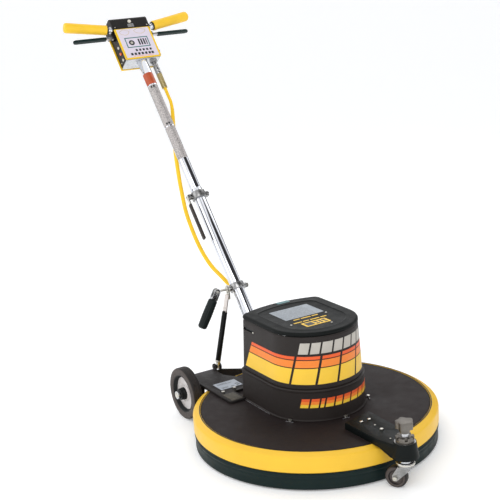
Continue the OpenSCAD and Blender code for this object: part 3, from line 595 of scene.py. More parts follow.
def cring(z, o=0.0, p=None, nf=96, ns=10, nc=10, nb=28):
    a, yc, e, b = p or section(z)
    a, e, b, c = a + o, e + o, b + o, max(24 + o, 1.0)
    w, q = a - c, math.radians(70)
    xe, ye = w + c * math.cos(q), b - c + c * math.sin(q)
    bow = 0.182 * xe
    P = [(-a * math.cos(pi * i / nf), yc - e * math.sin(pi * i / nf)) for i in range(nf + 1)]
    P += [(a, yc + (b - c - yc) * i / ns) for i in range(1, ns)]
    P += [(w + c * math.cos(q * i / nc), b - c + c * math.sin(q * i / nc)) for i in range(nc + 1)]
    P += [(xe * (1 - 2 * i / nb), ye + bow * (1 - (1 - 2 * i / nb) ** 2)) for i in range(1, nb)]
    P += [(-w - c * math.cos(q * (nc - i) / nc), b - c + c * math.sin(q * (nc - i) / nc)) for i in range(nc + 1)]
    P += [(-a, b - c - (b - c - yc) * i / ns) for i in range(1, ns)]
    return [(x, y, z) for x, y in P]


def loft(rings, closed=True, cap0=False, cap1=False):
    """rings: lists of (x, y, z) with the same count."""
    V, F = [], []
    n = len(rings[0])
    for q in rings:
        V += q
    m = len(rings)
    for i in range(m if closed else m - 1):
        a, b = i * n, ((i + 1) % m) * n
        for j in range(n):
            F.append((a + j, a + (j + 1) % n, b + (j + 1) % n, b + j))
    if cap0:
        F.append(tuple(range(n - 1, -1, -1)))
    if cap1:
        F.append(tuple((m - 1) * n + j for j in range(n)))
    return V, F


def cut(o, cutters):
    """Boolean difference, applied at once; the cutters are removed."""
    for c in cutters:
        b = o.modifiers.new("cut", "BOOLEAN")
        b.operation = "DIFFERENCE"
        b.solver = "EXACT"
        b.object = c
    dg = bpy.context.evaluated_depsgraph_get()
    me = bpy.data.meshes.new_from_object(o.evaluated_get(dg))
    mats = list(o.data.materials)
    o.modifiers.clear()
    o.data = me
    me.materials.clear()
    for m in mats:
        me.materials.append(m)
    for c in cutters:
        bpy.data.objects.remove(c)
    shade(me, 32)
    return o


# upper moulding, with a soft lip at the waist and below the cap
prof = [(-3.9, 216.2), (-1.2, 216.2), (-0.2, 217.2), (0, 219), (0, 260), (0, 320), (0, 371), (-0.5, 373), (-1.3, 374), (-1.3, 375.6), (-0.8, 377), (-3.9, 377), (-3.9, 320), (-3.9, 260)]
V, F = loft([cring(z, o) for o, z in prof])
up = put("cowl_upper_moulding", V, F, COWL, None, MM, 32)


def cutter(lo, hi):
    return block("cutter", lo, hi, COWL, None, MM, 0)


cs = [cutter((-162, 106, 345.5), (-132, 160, 354.5)), cutter((132, 106, 345.5), (162, 160, 354.5))]
for i in range(-3, 4):
    cs.append(cutter((i * 28 - 8, 160, 251), (i * 28 + 8, 232, 319)))
cut(up, cs)
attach(up, "base")
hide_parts("cowl_upper")
# dark sheets behind the side vents, standing in for the shade inside the cowl (painted shade)
for s in (-1, 1):
    block("slot_painted_shade_sheet_" + ("l" if s < 0 else "r"), (s * 138.6 - 1.5, 98, 338), (s * 138.6 + 1.5, 166, 363), INK, "base")
# lower moulding
prof = [(-3.9, 116.1), (1.8, 116.1), (2.6, 116.9), (2.6, 119.2), (1.6, 120.4), (0.2, 121.4), (0, 124), (0, 160), (0, 204), (0.4, 207), (1.3, 209.2), (1.7, 211.2), (1.3, 213.6), (0, 215.2), (-5, 216.0), (-7.4, 216.0), (-8.2, 214), (-8.2, 210), (-3.9, 208)]
V, F = loft([cring(z, o, LOW1 if z > 211 else None) for o, z in prof])
low = put("cowl_lower_moulding", V, F, COWL, None, MM, 32)
hole = lathe("cutter", cylp(17, -30, 30), 32, COWL, None, tr(0.072, 0.202, 0.170) @ rot("X", 90) @ MM)
cut(low, [hole])
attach(low, "base")
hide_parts("cowl_lower")
lathe("lead_grommet", [(17.3, 195), (18, 193.6), (18.4, 197), (18.4, 205.4), (22.2, 205.6), (22.8, 207), (22, 208.6), (18.2, 209), (17.4, 207.6), (17.2, 201)], 48, RUBBER, "base", tr(0.072, 0, 0.170) @ rot("X", -90) @ MM, closed=True)
# cap with a recessed panel
rings = [cring(z, o) for o, z in [(-4.6, 379.2), (0.6, 379.2), (1.3, 380.2), (1.4, 382), (1.3, 384), (0.7, 386), (-0.5, 388), (-2.2, 389.3), (-4.6, 390)]] + [cring(390.2, -7.5)]
rings += [cring(z, o, PANEL) for o, z in [(5, 390.2), (3.4, 390.7), (1.8, 390.7), (0.6, 390.0), (-0.8, 388.9), (-2.6, 388.5)]]
V, F = loft(rings, closed=False, cap0=False, cap1=True)
inner = [cring(379.2, -4.6), cring(386.4, -6)]
V2, F2 = loft(inner, closed=False, cap1=True)
V, F = merge([(V, F), (V2, F2)])
cap = put("cowl_cap_moulding", V, F, COWLTOP, "base", MM, 40, "cowl_plastic")
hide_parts("cowl_cap")


def screws(name, spots, r=4.0, body="base", mat=MM, m=ZINC):
    """Pan head screws; the crossed recesses are dark blocks set into the heads, standing in for the shade in them
    (painted shade). spots are (x, y, z) in mat's own frame, head towards its +z.
    """
    heads, recess_shade_blocks = [], []
    prof = [(0, -1.0), (r, -1.0), (r, 0.4), (r * 0.92, 1.3), (r * 0.7, 2.0), (r * 0.4, 2.4), (0, 2.5)]
    for x, y, z in spots:
        heads.append(moved(lathe_data(prof, 24), tr(x, y, z)))
        # dark blocks in the cross recess of each head stand in for the shade in the recess (painted shade)
        for a in (20, 110):
            L, w2 = r * 0.62, r * 0.13
            b = [(-L, -w2, 1.5), (L, -w2, 1.5), (L, w2, 1.5), (-L, w2, 1.5), (-L, -w2, 2.56), (L, -w2, 2.56), (L, w2, 2.56), (-L, w2, 2.56)]
            fs = [(3, 2, 1, 0), (4, 5, 6, 7), (0, 1, 5, 4), (1, 2, 6, 5), (2, 3, 7, 6), (3, 0, 4, 7)]
            recess_shade_blocks.append(moved((b, fs), tr(x, y, z) @ rot("Z", a)))
    put(name, *merge(heads), m, body, mat, 40)
    put(name + "_recess_painted_shade", *merge(recess_shade_blocks), INK, body, mat, 40)


screws("cap_screws", [(69, 16, 388.6), (-80, -15, 388.6), (28, -73, 388.6)], 3.4)
screws("side_screws", [(0, 0, 0)], 3.2, "base", tr(-0.1452, 0.104, 0.3475) @ rot("Y", -90) @ MM)
screws("side_screws_r", [(0, 0, 0)], 3.2, "base", tr(0.1452, 0.104, 0.3475) @ rot("Y", 90) @ MM)


def slab(name, pts, z0, z1, m, body="base", mat=MM, slot=None, bevel=0.15):
    return prism(name, pts, z0, z1, m, body, mat, bevel, 1, slot)


def rect(x0, y0, x1, y1, rc=1.5, n=4):
    out = []
    for cx, cy, a0 in ((x1 - rc, y0 + rc, -90), (x1 - rc, y1 - rc, 0), (x0 + rc, y1 - rc, 90), (x0 + rc, y0 + rc, 180)):
        for i in range(n + 1):
            a = math.radians(a0 + 90 * i / n)
            out.append((cx + rc * math.cos(a), cy + rc * math.sin(a)))
    return out


slab("cap_label", rect(-70, 30, 71, 128, 3), 388.4, 388.9, FOIL_GREY)
lines = []
for i in range(9):
    y = 38 + 9.6 * i
    x = -63
    for w2 in ((26, 38, 18, 30), (34, 20, 40, 16), (20, 44, 26, 24))[i % 3]:
        lines.append(((x, y), (min(x + w2 - 4, 71), y + 3.2)))
        x += w2
def bars(name, items, z0, z1, m, body="base", mat=MM):
    parts = []
    for (x0, y0), (x1, y1) in items:
        b = [(x0, y0, z0), (x1, y0, z0), (x1, y1, z0), (x0, y1, z0), (x0, y0, z1), (x1, y0, z1), (x1, y1, z1), (x0, y1, z1)]
        parts.append((b, [(3, 2, 1, 0), (4, 5, 6, 7), (0, 1, 5, 4), (1, 2, 6, 5), (2, 3, 7, 6), (3, 0, 4, 7)]))
    return put(name, *merge(parts), m, body, mat, 40)
LINES = paint("print_grey", (0.24, 0.26, 0.28), 0.45, 0.15, 60, 900, 0.00005, 0.2, seed=31.0)
bars("cap_label_rules", lines, 388.85, 389.0, LINES)
slab("cap_label_small", rect(-2, 179, 44, 197, 2), 390.1, 390.5, FOIL_TEAL)
slab("cap_badge_border", rect(-52, -60, 36, -23, 3), 388.4, 388.9, STR_Y)
bars("cap_badge_blocks", [((-45, -54), (-18, -29)), ((-13, -54), (0, -46)), ((-13, -40), (0, -29)), ((5, -54), (12, -29)), ((17, -54), (30, -46)), ((17, -40), (30, -29))], 388.85, 389.05, INK)
bars("cap_dashes", [((-50, 15), (-28, 21)), ((-23, 15), (12, 21)), ((17, 15), (39, 21)), ((-67, -12), (-38, -6)), ((-33, -12), (-12, -6)), ((-7, -12), (26, -6)), ((31, -12), (52, -6))], 388.4, 388.85, STR_Y)


# bands round the cowl
def upos(t, z, h):
    """t runs in degrees round the rounded front from its left end; beyond it, along the straight sides."""
    a, yc, e, b = section(z)
    a, e = a + h, e + h
    if t < 0:
        return (-a, yc - t * 2.6)
    if t > 180:
        return (a, yc + (t - 180) * 2.6)
    q = math.radians(t)
    return (-a * math.cos(q), yc - e * math.sin(q))


def wrap(zs, left, right, h=0.4, step=2.0):
    """A thin closed sheet on the cowl between two slanted ends; left and right give t for a height."""
    nz = len(zs)
    n = max(2, int((right(zs[0]) - left(zs[0])) / step) + 1)
    V, F = [], []
    for hh in (h, 0.03):
        for z in zs:
            a, b = left(z), right(z)
            for i in range(n + 1):
                x, y = upos(a + (b - a) * i / n, z, hh)
                V.append((x, y, z))
    w = n + 1
    o2 = nz * w
    for j in range(nz - 1):
        for i in range(n):
            a = j * w + i
            F.append((a, a + 1, a + w + 1, a + w))
            F.append((o2 + a + w, o2 + a + w + 1, o2 + a + 1, o2 + a))
    for i in range(n):
        F.append((i + 1, i, o2 + i, o2 + i + 1))
        t = (nz - 1) * w + i
        F.append((t, t + 1, o2 + t + 1, o2 + t))
    for j in range(nz - 1):
        a = j * w
        F.append((a, a + w, o2 + a + w, o2 + a))
        b = j * w + n
        F.append((b + w, b, o2 + b, o2 + b + w))
    return V, F


def sl_(z):
    return -(150 - 0.44 * (z - 229) - section(z)[1]) / 2.6


def sr_(z):
    return 180 - sl_(z)


KS = 0.092
BLOCKS = [(31, 59), (62, 85), (88, 113), (116, 140)]
for nm, m, z0, z1 in (("yellow", STR_Y, 231, 280), ("orange", STR_O, 283, 305), ("red", STR_R, 308, 317.5)):
    zz = [z0, (z0 + z1) / 2, z1]
    parts = [wrap(zz, sl_, lambda z: 28 + KS * (z - 231))]
    for a, b in BLOCKS:
        parts.append(wrap(zz, lambda z, a=a: a + KS * (z - 231), lambda z, b=b: b + KS * (z - 231)))
    parts.append(wrap(zz, lambda z: 143 + KS * (z - 231), sr_))
    put("band_" + nm, *merge(parts), m, "base", MM, 40)
parts = []
a = 40.0
for w2 in (12, 11, 13, 12, 12, 11, 12):
    parts.append(wrap([325, 342, 359], lambda z, a=a: a + KS * (z - 323), lambda z, a=a, w2=w2: a + w2 + KS * (z - 323)))
    a += w2 + 2.4
put("band_grey_dashes", *merge(parts), STR_G, "base", MM, 40)
parts = {"low_y": [], "low_o": [], "low_r": []}
a = 41.0
for w2 in (9, 9, 4, 9, 8, 9, 11, 9, 8, 9):
    for kk, z0, z1 in (("low_y", 160, 170), ("low_o", 170, 179), ("low_r", 179, 188)):
        parts[kk].append(wrap([z0, z1], lambda z, a=a: a + KS * (z - 160), lambda z, a=a, w2=w2: a + w2 + KS * (z - 160)))
    a += w2 + 2.0
for kk, m in (("low_y", STR_Y), ("low_o", STR_O), ("low_r", STR_R)):
    put("band_" + kk, *merge(parts[kk]), m, "base", MM, 40)
# aluminium strips at the three base tabs, standing in for the highlights on the tab edges (painted highlight)
for i, aa in enumerate((-150, -90, -30)):
    A = math.radians(aa)
    block("base_tab_highlight_%d" % i, (-13, -1.2, 0), (13, 1.2, 1.8), ALU, "base", tr(0.1715 * math.cos(A), 0.1675 * math.sin(A), 0.1162) @ rot("Z", aa + 90) @ MM, 0.3)
# a bright aluminium strip along the left lip of the cowl base, standing in for the highlight on that lip (painted
# highlight)
block("base_lip_highlight_left", (-163.6, 5, 116.05), (-162.3, 168, 117.6), ALU, "base", MM, 0.2)
# prints on the data plate
bars("data_plate_marks", [((-128, 258), (-116, 264)), ((-128, 270), (-116, 275)), ((-150, 258), (-138, 262)), ((-182, 258), (-160, 260)), ((-182, 264), (-156, 266)), ((-182, 290), (-130, 292)), ((-182, 296), (-146, 298))], 124.9, 125.15, INK)
block("data_plate_rim", (-188, 253, 124.8), (-112, 306, 125.05), FOIL_BLUE, "base", MM, 0.1)

# ------------------------------------------------------------------ transport wheels
def wheel(side):
    s = -1 if side == "left" else 1
    M = tr(s * 0.263, 0.393, 0.086) @ rot("Y", 90 if s < 0 else -90) @ MM
    body = "wheel_" + side
    tread = [(86, 11)]
    for q in (12, 15.2, 18.4, 21.6):
        tread += [(86, q - 0.7), (85.3, q - 0.4), (85.3, q + 0.4), (86, q + 0.7)]
    tread += [(86, 24)]
    prof = [(63, 2.6), (64.4, 1.2), (66.5, 0.6), (67.5, 1.1), (68.5, 0.5), (73, 0.2), (79, 0.2), (82.4, 0.7), (84.8, 2.3), (85.8, 4.8), (86, 8)] + tread + [(86, 27), (85.8, 30.2), (84.8, 32.7), (82.4, 34.3), (79, 34.8), (73, 34.8), (66.5, 34.4), (63, 32.4)]
    t = lathe("tyre_" + side, prof, 160, TYRE, body, M, closed=True, angle=38, slot="tyre_rubber")
    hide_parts("wheel_tyre_" + side)
    prof = [(55.4, 13.8), (51, 14.6), (40, 14.6), (30, 15.4), (27, 14.8), (24.5, 12), (22, 10), (20.6, 10), (20.6, 25), (22, 25), (24.5, 23), (27, 20.2), (30, 19.6), (40, 20.4), (51, 20.4), (55.4, 21.2)]
    h = lathe("hub_" + side, prof, 120, HUBS, body, M, closed=True, angle=30, slot="hub_silver")
    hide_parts("wheel_hub_" + side)
    # black wall of the recess round the hub dish; its black stands partly for the shade inside the deep recess (painted
    # shade)
    lathe("hub_rim_" + side, [(62.9, 2.4), (61.2, 2.2), (60, 3.2), (58.6, 6), (57, 10), (55.6, 12.4), (54, 13.4), (54, 21.6), (55.6, 22.6), (57, 25), (58.6, 29), (60, 31.8), (61.2, 32.8), (62.9, 32.6)], 120, BLACK, body, M, closed=True, angle=30)
    lathe("hub_boss_" + side, [(8.1, -8.4), (9, -9), (17.6, -9), (18.8, -8), (19.2, -6), (19.2, 1), (20.4, 3), (20.5, 9), (20.5, 26), (20.4, 33), (19, 36.6), (9, 37), (8.1, 36.4)], 64, BLACK, body, M, closed=True, angle=30)
    parts = []
    for i in range(3):
        a = math.radians(15 + 120 * i)
        L = [(29, -1.6, 15.6), (29, 1.6, 15.6), (29, 0, 13.2), (54, -1.0, 14.6), (54, 1.0, 14.6), (54, 0, 12.8)]
        parts.append(moved((L, [(0, 1, 2), (3, 5, 4), (0, 2, 5, 3), (1, 4, 5, 2), (0, 3, 4, 1)]), rot("Z", math.degrees(a))))
    put("hub_creases_" + side, *merge(parts), HUBS, body, M, 20)


wheel("left")
wheel("right")
# domed ends on the axle caps
for s in (-1, 1):
    lathe("axle_dome_" + ("l" if s < 0 else "r"), [(0, 0), (9.5, 0), (9.2, 1.2), (7.4, 2.6), (4, 3.4), (0, 3.6)], 40, ZINC, "base", tr(s * 0.281, 0.393, 0.086) @ rot("Y", 90 * s) @ MM)

# ------------------------------------------------------------------ caster
CM = tr(0, -0.446, 0) @ MM
cw = lathe("caster_tyre", [(4.1, -1.2), (7.6, -1.3), (9, 0.6), (10.6, 3.4), (19, 4.2), (21, 2.2), (22, 0.4), (26.5, 0.2), (29.6, 1.4), (31.4, 3.8), (32, 7), (32, 19), (31.4, 22.2), (29.6, 24.6), (26.5, 25.8), (22, 25.6), (21, 23.8), (19, 21.8), (10.6, 22.6), (9, 25.4), (7.6, 27.3), (4.1, 27.2)], 96, TYRE, "caster_wheel", tr(0, -0.446, 0) @ rot("Z", 35) @ tr(-0.013, 0.026, 0.032) @ rot("Y", 90) @ MM, closed=True, slot="caster_tread")
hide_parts("caster_wheel")
lathe("caster_race_ring", [(24.6, 74), (26.2, 73.6), (27, 74.6), (27, 78), (26, 79.2), (24.6, 79)], 64, ZINC, "caster_stem", CM, closed=True)
lathe("boss_top_ring", ringp(16.5, 30.6, 141.2, 142.1, 0.3), 64, DARKM, "base", CM, closed=True)
screws("arm_screws", [(7, -300, 138), (-16, -402, 138)], 3.0)

# ------------------------------------------------------------------ clamp lever, cam grip, strut
TM = HM @ tr(-38, 0, 649)
LEVERB = paint("lever_sleeve", (0.035, 0.026, 0.022), 0.42, 0.15, 30, 900, 0.0003, 0.5, spec=0.3, seed=27.3)
sl = block("clamp_sleeve", (-10.6, -7.4, -165.4), (-2.0, 7.4, -26), LEVERB, "clamp_lever", TM, 3.2, 4, "lever_black")
parts = []
for i in range(14):
    z = -34 - 9 * i
    parts.append(([(-11.2, -4, z), (-10.4, -4, z), (-10.4, 4, z), (-11.2, 4, z), (-11.2, -4, z + 3.2), (-10.4, -4, z + 3.2), (-10.4, 4, z + 3.2), (-11.2, 4, z + 3.2)], [(3, 2, 1, 0), (4, 5, 6, 7), (0, 1, 5, 4), (1, 2, 6, 5), (2, 3, 7, 6), (3, 0, 4, 7)]))
put("clamp_sleeve_ribs", *merge(parts), LEVERB, "clamp_lever", TM, 40)
block("clamp_link", (-7.2, -4.8, -30), (-2.4, 4.8, -1), ZINC, "clamp_lever", TM, 0.8)
lathe("clamp_barrel", ringp(3.1, 6.5, -4.6, 4.6, 0.6), 32, ZINC, "clamp_lever", TM @ rot("X", -90), closed=True)
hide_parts("tube_clamp_lever")

KM = HM @ tr(-80, 0, 288.3) @ rot("X", 39) @ rot("Y", 30)


def flute(i, a, z):
    k2 = max(0.0, min(1.0, (z + 126) / 8)) * max(0.0, min(1.0, (-38 - z) / 8))
    return 1 - 0.055 * k2 * (0.5 + 0.5 * math.cos(14 * a)) ** 2


gp = []
for i in range(41):
    z = -132 + 103.5 * i / 40
    t = i / 40
    rr = 15.4 + 0.9 * math.sin(pi * t) ** 2
    if t < 0.09:
        rr *= math.sqrt(max(0.02, 1 - (1 - t / 0.09) ** 2)) * 0.5 + 0.5
    if t > 0.93:
        rr *= math.sqrt(max(0.02, 1 - ((t - 0.93) / 0.07) ** 2)) * 0.3 + 0.7
    gp.append((rr, z))
gr = lathe("cam_grip_ribbed", [(0, -132)] + gp + [(0, -28.5)], 112, GRIPB, "cam_lever", KM, wob=flute, angle=60, slot="grip_black")
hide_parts("cam_grip")

tilt = math.degrees(math.atan2(62, 261))
slen = math.sqrt(62 ** 2 + 0.4 ** 2 + 261 ** 2)
SM = tr(-0.098, 0.439, 0.128) @ rot("Y", tilt) @ MM
st = lathe("strut_tube", [(0, 17), (8.7, 17), (9, 17.6), (9, slen * 0.70), (8, slen * 0.715), (0, slen * 0.72)], 40, BLACK, "strut", SM, slot="strut_black")
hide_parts("strut_rod")
block("strut_tip", (-3, -7, 4), (3, 7, 22), ZINC, "strut", SM, 0.8)
lathe("strut_tip_collar", cylp(9.3, 15, 22, 0.6), 40, ZINC, "strut", SM)
lathe("strut_tip_eye", ringp(5.1, 8.5, -3, 3, 0.5), 36, ZINC, "strut", tr(-0.098, 0.439, 0.128) @ rot("Y", 90) @ MM, closed=True)
prism("strut_strip", [(-11, 0), (11, 0), (11, 56), (8, 60), (-8, 60), (-11, 56)], -2, 2, STRIP, "strut", SM @ tr(0, 0, slen * 0.71 - 1) @ Matrix(((0, 0, 1, 0), (1, 0, 0, 0), (0, 1, 0, 0), (0, 0, 0, 1))), 0.6)
EM = tr(0, 0.4394, 0.389) @ rot("Y", 90) @ MM
lathe("strut_eye", ringp(9.05, 14, -38.2, -33.8, 0.6), 48, ZINC, "strut", EM, closed=True)
block("strut_eye_tail", (-38.2, 430, 354.5), (-33.8, 449, 379), ZINC, "strut", MM, 0.5)
lathe("strut_rivet_a", [(0, -2.6), (3.4, -2.6), (3.6, -1.4), (3.6, 1.4), (3.4, 2.6), (2, 3.4), (0, 3.6)], 24, ZINC, "strut", SM @ tr(0, 0, slen * 0.71 + 12) @ rot("Y", -90))

# ------------------------------------------------------------------ switch box
UB = "handle_upper"
FM = HM @ rot("X", 90)          # (x, y, z) -> x, height up the handle, out of the front
b0 = BOX_D
pl = prism("plate_front", rect(-71.5, b0 + 2, 71.5, b0 + 134.6, 3), 22, 25, PLATEY, UB, FM, 0.7, 2, "plate_yellow")
prism("plate_rear", rect(-71.5, b0 - 2, 71.5, b0 + 132, 3), -42, -39, PLATEY, UB, FM, 0.7, 2, "plate_yellow")
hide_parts("box_plates")
slab("front_label", rect(-64, b0 + 7, 64, b0 + 132, 2), 24.9, 25.25, LILAC, UB, FM)
fr = []
for (x0, y0), (x1, y1) in (((-46, 49), (46, 52.6)), ((-46, 89.4), (46, 93)), ((-46, 52.6), (-42.4, 89.4)), ((42.4, 52.6), (46, 89.4))):
    fr.append(((x0, b0 + y0), (x1, b0 + y1)))
bars("label_frame", fr, 25.15, 25.45, TEAL, UB, FM)
bars("label_frame_fill", [((-42.4, b0 + 52.6), (42.4, b0 + 89.4))], 25.1, 25.32, LILAC, UB, FM)
lathe("label_disc", [(0, 0), (11, 0), (11, 0.3), (0, 0.3)], 40, INK, UB, FM @ tr(-23, b0 + 70, 25.2))
lathe("label_disc_in", [(0, 0), (5.5, 0), (5.5, 0.2), (0, 0.2)], 32, STR_G, UB, FM @ tr(-23, b0 + 70, 25.42))
bars("label_blocks", [((4, b0 + 58), (10, b0 + 84)), ((14, b0 + 58), (20, b0 + 84)), ((24, b0 + 58), (30, b0 + 84)), ((34, b0 + 58), (38, b0 + 84))], 25.2, 25.5, INK, UB, FM)
bars("label_dashes", [((x, b0 + 32), (x + 8, b0 + 41)) for x in (-20, -6, 8, 22, 36)] + [((x, b0 + 16), (x + 9, b0 + 26)) for x in (-44, -30, -16, -2, 12, 26, 38)], 25.15, 25.42, INK, UB, FM)
bars("label_fine", [((-36, b0 + 10.4), (-30, b0 + 12.6)), ((-26, b0 + 10.6), (44, b0 + 12.2))], 25.15, 25.4, STR_O, UB, FM)
BEIGE = paint("print_beige", (0.62, 0.52, 0.42), 0.45, 0.14, 90, 900, 0.00005, 0.2, seed=33.0)
for nm, cx, cy, rx, ry in (("a", -36, 117, 20, 12), ("b", 26, 119, 23, 12)):
    pts = [(cx + rx * math.cos(t) * (1 + 0.08 * math.sin(5 * t)), b0 + cy + ry * math.sin(t) * (1 + 0.1 * math.sin(4 * t + 1))) for t in [2 * pi * i / 40 for i in range(40)]]
    slab("label_patch_" + nm, pts, 25.1, 25.35, BEIGE, UB, FM, None, 0.05)
    pts = [(cx + (rx - 2.5) * math.cos(t) * (1 + 0.08 * math.sin(5 * t)), b0 + cy + (ry - 2.5) * math.sin(t) * (1 + 0.1 * math.sin(4 * t + 1))) for t in [2 * pi * i / 40 for i in range(40)]]
    slab("label_patch_in_" + nm, pts, 25.25, 25.42, LILAC, UB, FM, None, 0.05)
screws("plate_screws", [(-68.3, b0 + 6, 25), (68.3, b0 + 6, 25)], 1.6, UB, FM)
# black cover over the top
arc = [(-14 + 12 * math.cos(math.radians(a)), 172 + 12 * math.sin(math.radians(a))) for a in range(180, 89, -9)]
arc2 = [(15 + 30 * math.cos(math.radians(a)), 154 + 30 * math.sin(math.radians(a))) for a in range(90, -1, -6)]
outline = [(-22, 132.2), (-22, 134.9), (-26, 134.9)] + arc + arc2 + [(45, 132.2)]
outline = [(y, b0 + z) for y, z in outline]
YZ = HM @ Matrix(((0, 0, 1, 0), (1, 0, 0, 0), (0, 1, 0, 0), (0, 0, 0, 1)))   # (y, z, x)
tc = prism("cover_top", outline, -74, 74, BOXB, UB, YZ, 1.6, 3, "box_black", 30)
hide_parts("top_cover")
block("cover_switch_plate", (-12, b0 + 139, 25.6), (12, b0 + 153, 26.6), ALU, UB, FM, 0.3)
block("cover_switch_tab", (-3, b0 + 142, 26.4), (3, b0 + 150, 29.4), ZINC, UB, FM, 0.6)
screws("cover_screws", [(-64, b0 + 142, 26), (64, b0 + 142, 26)], 2.4, UB, FM)
screws("box_side_screws", [(0, 0, 0)], 2.6, UB, HM @ tr(-66, 26, b0 + 20) @ rot("Y", -90))


def grip_m(s):
    return HM @ tr(s * 76, -12, b0 + 140) @ rot("Y", s * math.degrees(math.atan2(157, 31))) @ rot("X", -1)


first = None
for s, nm in ((-1, "left"), (1, "right")):
    G = grip_m(s)
    prof = [(9.7, 17.6), (15.4, 17.6), (17.4, 18.4), (18.3, 20.2), (18.4, 24), (17.9, 27), (17.8, 60), (18.1, 110), (18.45, 150), (18.5, 164), (18.2, 169.4), (17, 173.2), (14.6, 175.4), (11, 176), (0, 176)]
    g = lathe("grip_" + nm, prof, 72, GRIPY, UB, G, angle=45, slot="grip_yellow")
    if first is None:
        first = g
    lathe("grip_collar_" + nm, [(9.6, 12.2), (13.6, 12.2), (14.6, 13), (14.8, 15), (14, 16.6), (15.2, 17.4), (9.6, 17.4)], 48, GRIPB, UB, G, closed=True)
    PMx = HM @ tr(s * 76, -2, b0 + 112.5)
    pts = [(27, -8.6), (146, -8.8)] + [(148 + 7.8 * math.sin(math.radians(a)), -7.8 * math.cos(math.radians(a))) for a in range(15, 166, 15)] + [(146, 8.8), (27, 8.6)]
    pts = [(s * x, y) for x, y in pts]
    if s < 0:
        pts = pts[::-1]
    pd = prism("paddle_" + nm, pts, -6.0, 4.8, PADDLE, "switch_" + nm, PMx, 3.4, 4, "paddle_black")
    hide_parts("switch_lever_" + nm)
    block("paddle_shank_" + nm, (min(s * 2, s * 30), -6, -4.2), (max(s * 2, s * 30), 6, 3.6), ALU, "switch_" + nm, PMx, 0.8)
    lathe("paddle_barrel_" + nm, ringp(3.08, 5.5, -6.8, 6.8, 0.5), 32, ALU, "switch_" + nm, PMx @ rot("X", -90), closed=True)
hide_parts("grips")


def hexring(af, ri, z0, z1, ch=1.0, n=48):
    R = af / 2
    V, F = [], []
    def rad(a, k2):
        t = (a + pi / 6) % (pi / 3) - pi / 6
        return min(R / math.cos(t), R * 1.155 * k2)
    lev = [(ri, z0, 0), (0, z0, 0.93), (0, z0 + ch, 1.1), (0, z1 - ch, 1.1), (0, z1, 0.93), (ri, z1, 0)]
    for rr, z, k2 in lev:
        for j in range(n):
            a = 2 * pi * j / n
            q = rr if rr else rad(a, k2)
            V.append((q * math.cos(a), q * math.sin(a), z))
    for i in range(6):
        a, b = i * n, ((i + 1) % 6) * n
        for j in range(n):
            F.append((a + j, a + (j + 1) % n, b + (j + 1) % n, b + j))
    return V, F


gl = []
for T, h in ((tr(45, 0, b0), 28), (tr(66, 8, b0 + 40) @ rot("Y", -90), 22)):
    gl.append(moved(hexring(24, 6.3, -8.6, -0.05, 1.2), T))
    gl.append(moved(lathe_data(ringp(6.3, 10, -h + 6, -8, 0.6), 40, True), T))
    gl.append(moved(hexring(19, 6.3, -h + 0.6, -h + 9, 1.4), T))
g = put("glands_turned", *merge(gl), NICKEL, UB, HM, 30, "gland_nickel")
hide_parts("cable_glands")
# woven strain relief on the lead, with its ferrule
GM = HM @ tr(45, 0, b0 - 123)
sv = lathe("mesh_sleeve", [(6.25, 0.5), (8.4, 0.5), (9.0, 3), (9.3, 60), (9.5, 94.6), (6.25, 94.6)], 32, WIRE, UB, GM, closed=True, slot="mesh_wire")
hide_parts("mesh_grip")
wires = []
for d in (1, -1):
    for i in range(9):
        pts = []
        for q in range(49):
            z = 1.5 + 64 * q / 48
            a = 2 * pi * i / 9 + d * 2 * pi * z / 30
            rr = 9.75 + 0.25 * math.sin(9 * (a * d) + pi * (i % 2))
            pts.append((rr * math.cos(a), rr * math.sin(a), z))
        wires.append(sweep_data(pts, 0.6, 5, True, Vector((0, 0, 1))))
put("mesh_wires", *merge(wires), WIRE, UB, GM, 60)
lathe("mesh_ferrule", [(6.25, 62), (10.2, 62), (10.7, 63), (10.8, 74), (10.1, 75.4), (10.6, 76.6), (10.8, 78), (10.8, 92), (10.2, 94.4), (6.25, 94.4)], 48, NICKEL, UB, GM, closed=True)


# labels on the upper tube
def tube_patch(name, z0, z1, ac, span, m, R=18.85, h=0.25, n=28):
    V, F = [], []
    for rr in (R + h, R + 0.02):
        for z in (z0, z1):
            for i in range(n + 1):
                a = math.radians(ac - span + 2 * span * i / n)
                V.append((rr * math.cos(a), rr * math.sin(a), z))
    w = n + 1
    for i in range(n):
        F += [(i, i + 1, w + i + 1, w + i), (3 * w + i, 3 * w + i + 1, 2 * w + i + 1, 2 * w + i), (i + 1, i, 2 * w + i, 2 * w + i + 1), (w + i, w + i + 1, 3 * w + i + 1, 3 * w + i)]
    F += [(0, w, 3 * w, 2 * w), (w + n, n, 2 * w + n, 3 * w + n)]
    return put(name, V, F, m, UB, HM, 40)


tube_patch("tube_label_top", 1112, 1160, -112, 78, STICK)
tube_patch("tube_label_long", 934, 1107, -118, 72, FOIL_TUBE)
tube_patch("tube_label_low", 797, 930, -118, 72, FOIL_TUBE)
for i, (z, a) in enumerate(((1096, -132), (1096, -104), (938, -132), (938, -106))):
    tube_patch("tube_label_square_%d" % i, z, z + 8, a, 9, INK, 19.08, 0.2, 4)

# ------------------------------------------------------------------ stage, light
fl = bpy.data.meshes.new("floor")
S = 120.0
fl.from_pydata([(-S, -S, 0), (S, -S, 0), (S, S, 0), (-S, S, 0)], [], [(0, 1, 2, 3)])
flo = bpy.data.objects.new("floor", fl)
flo.location = (0, 0, -0.0004)
COL.objects.link(flo)
fl.materials.append(FLOOR.m)


def area(name, loc, aim, size, power, color=(1, 1, 1)):
    d = bpy.data.lights.new(name, "AREA")
    d.shape = "RECTANGLE"
    d.size, d.size_y = size
    d.energy = power
    d.color = color
    o = bpy.data.objects.new(name, d)
    o.location = loc
    o.rotation_euler = (Vector(aim) - Vector(loc)).to_track_quat("-Z", "Y").to_euler()
    COL.objects.link(o)
    return o


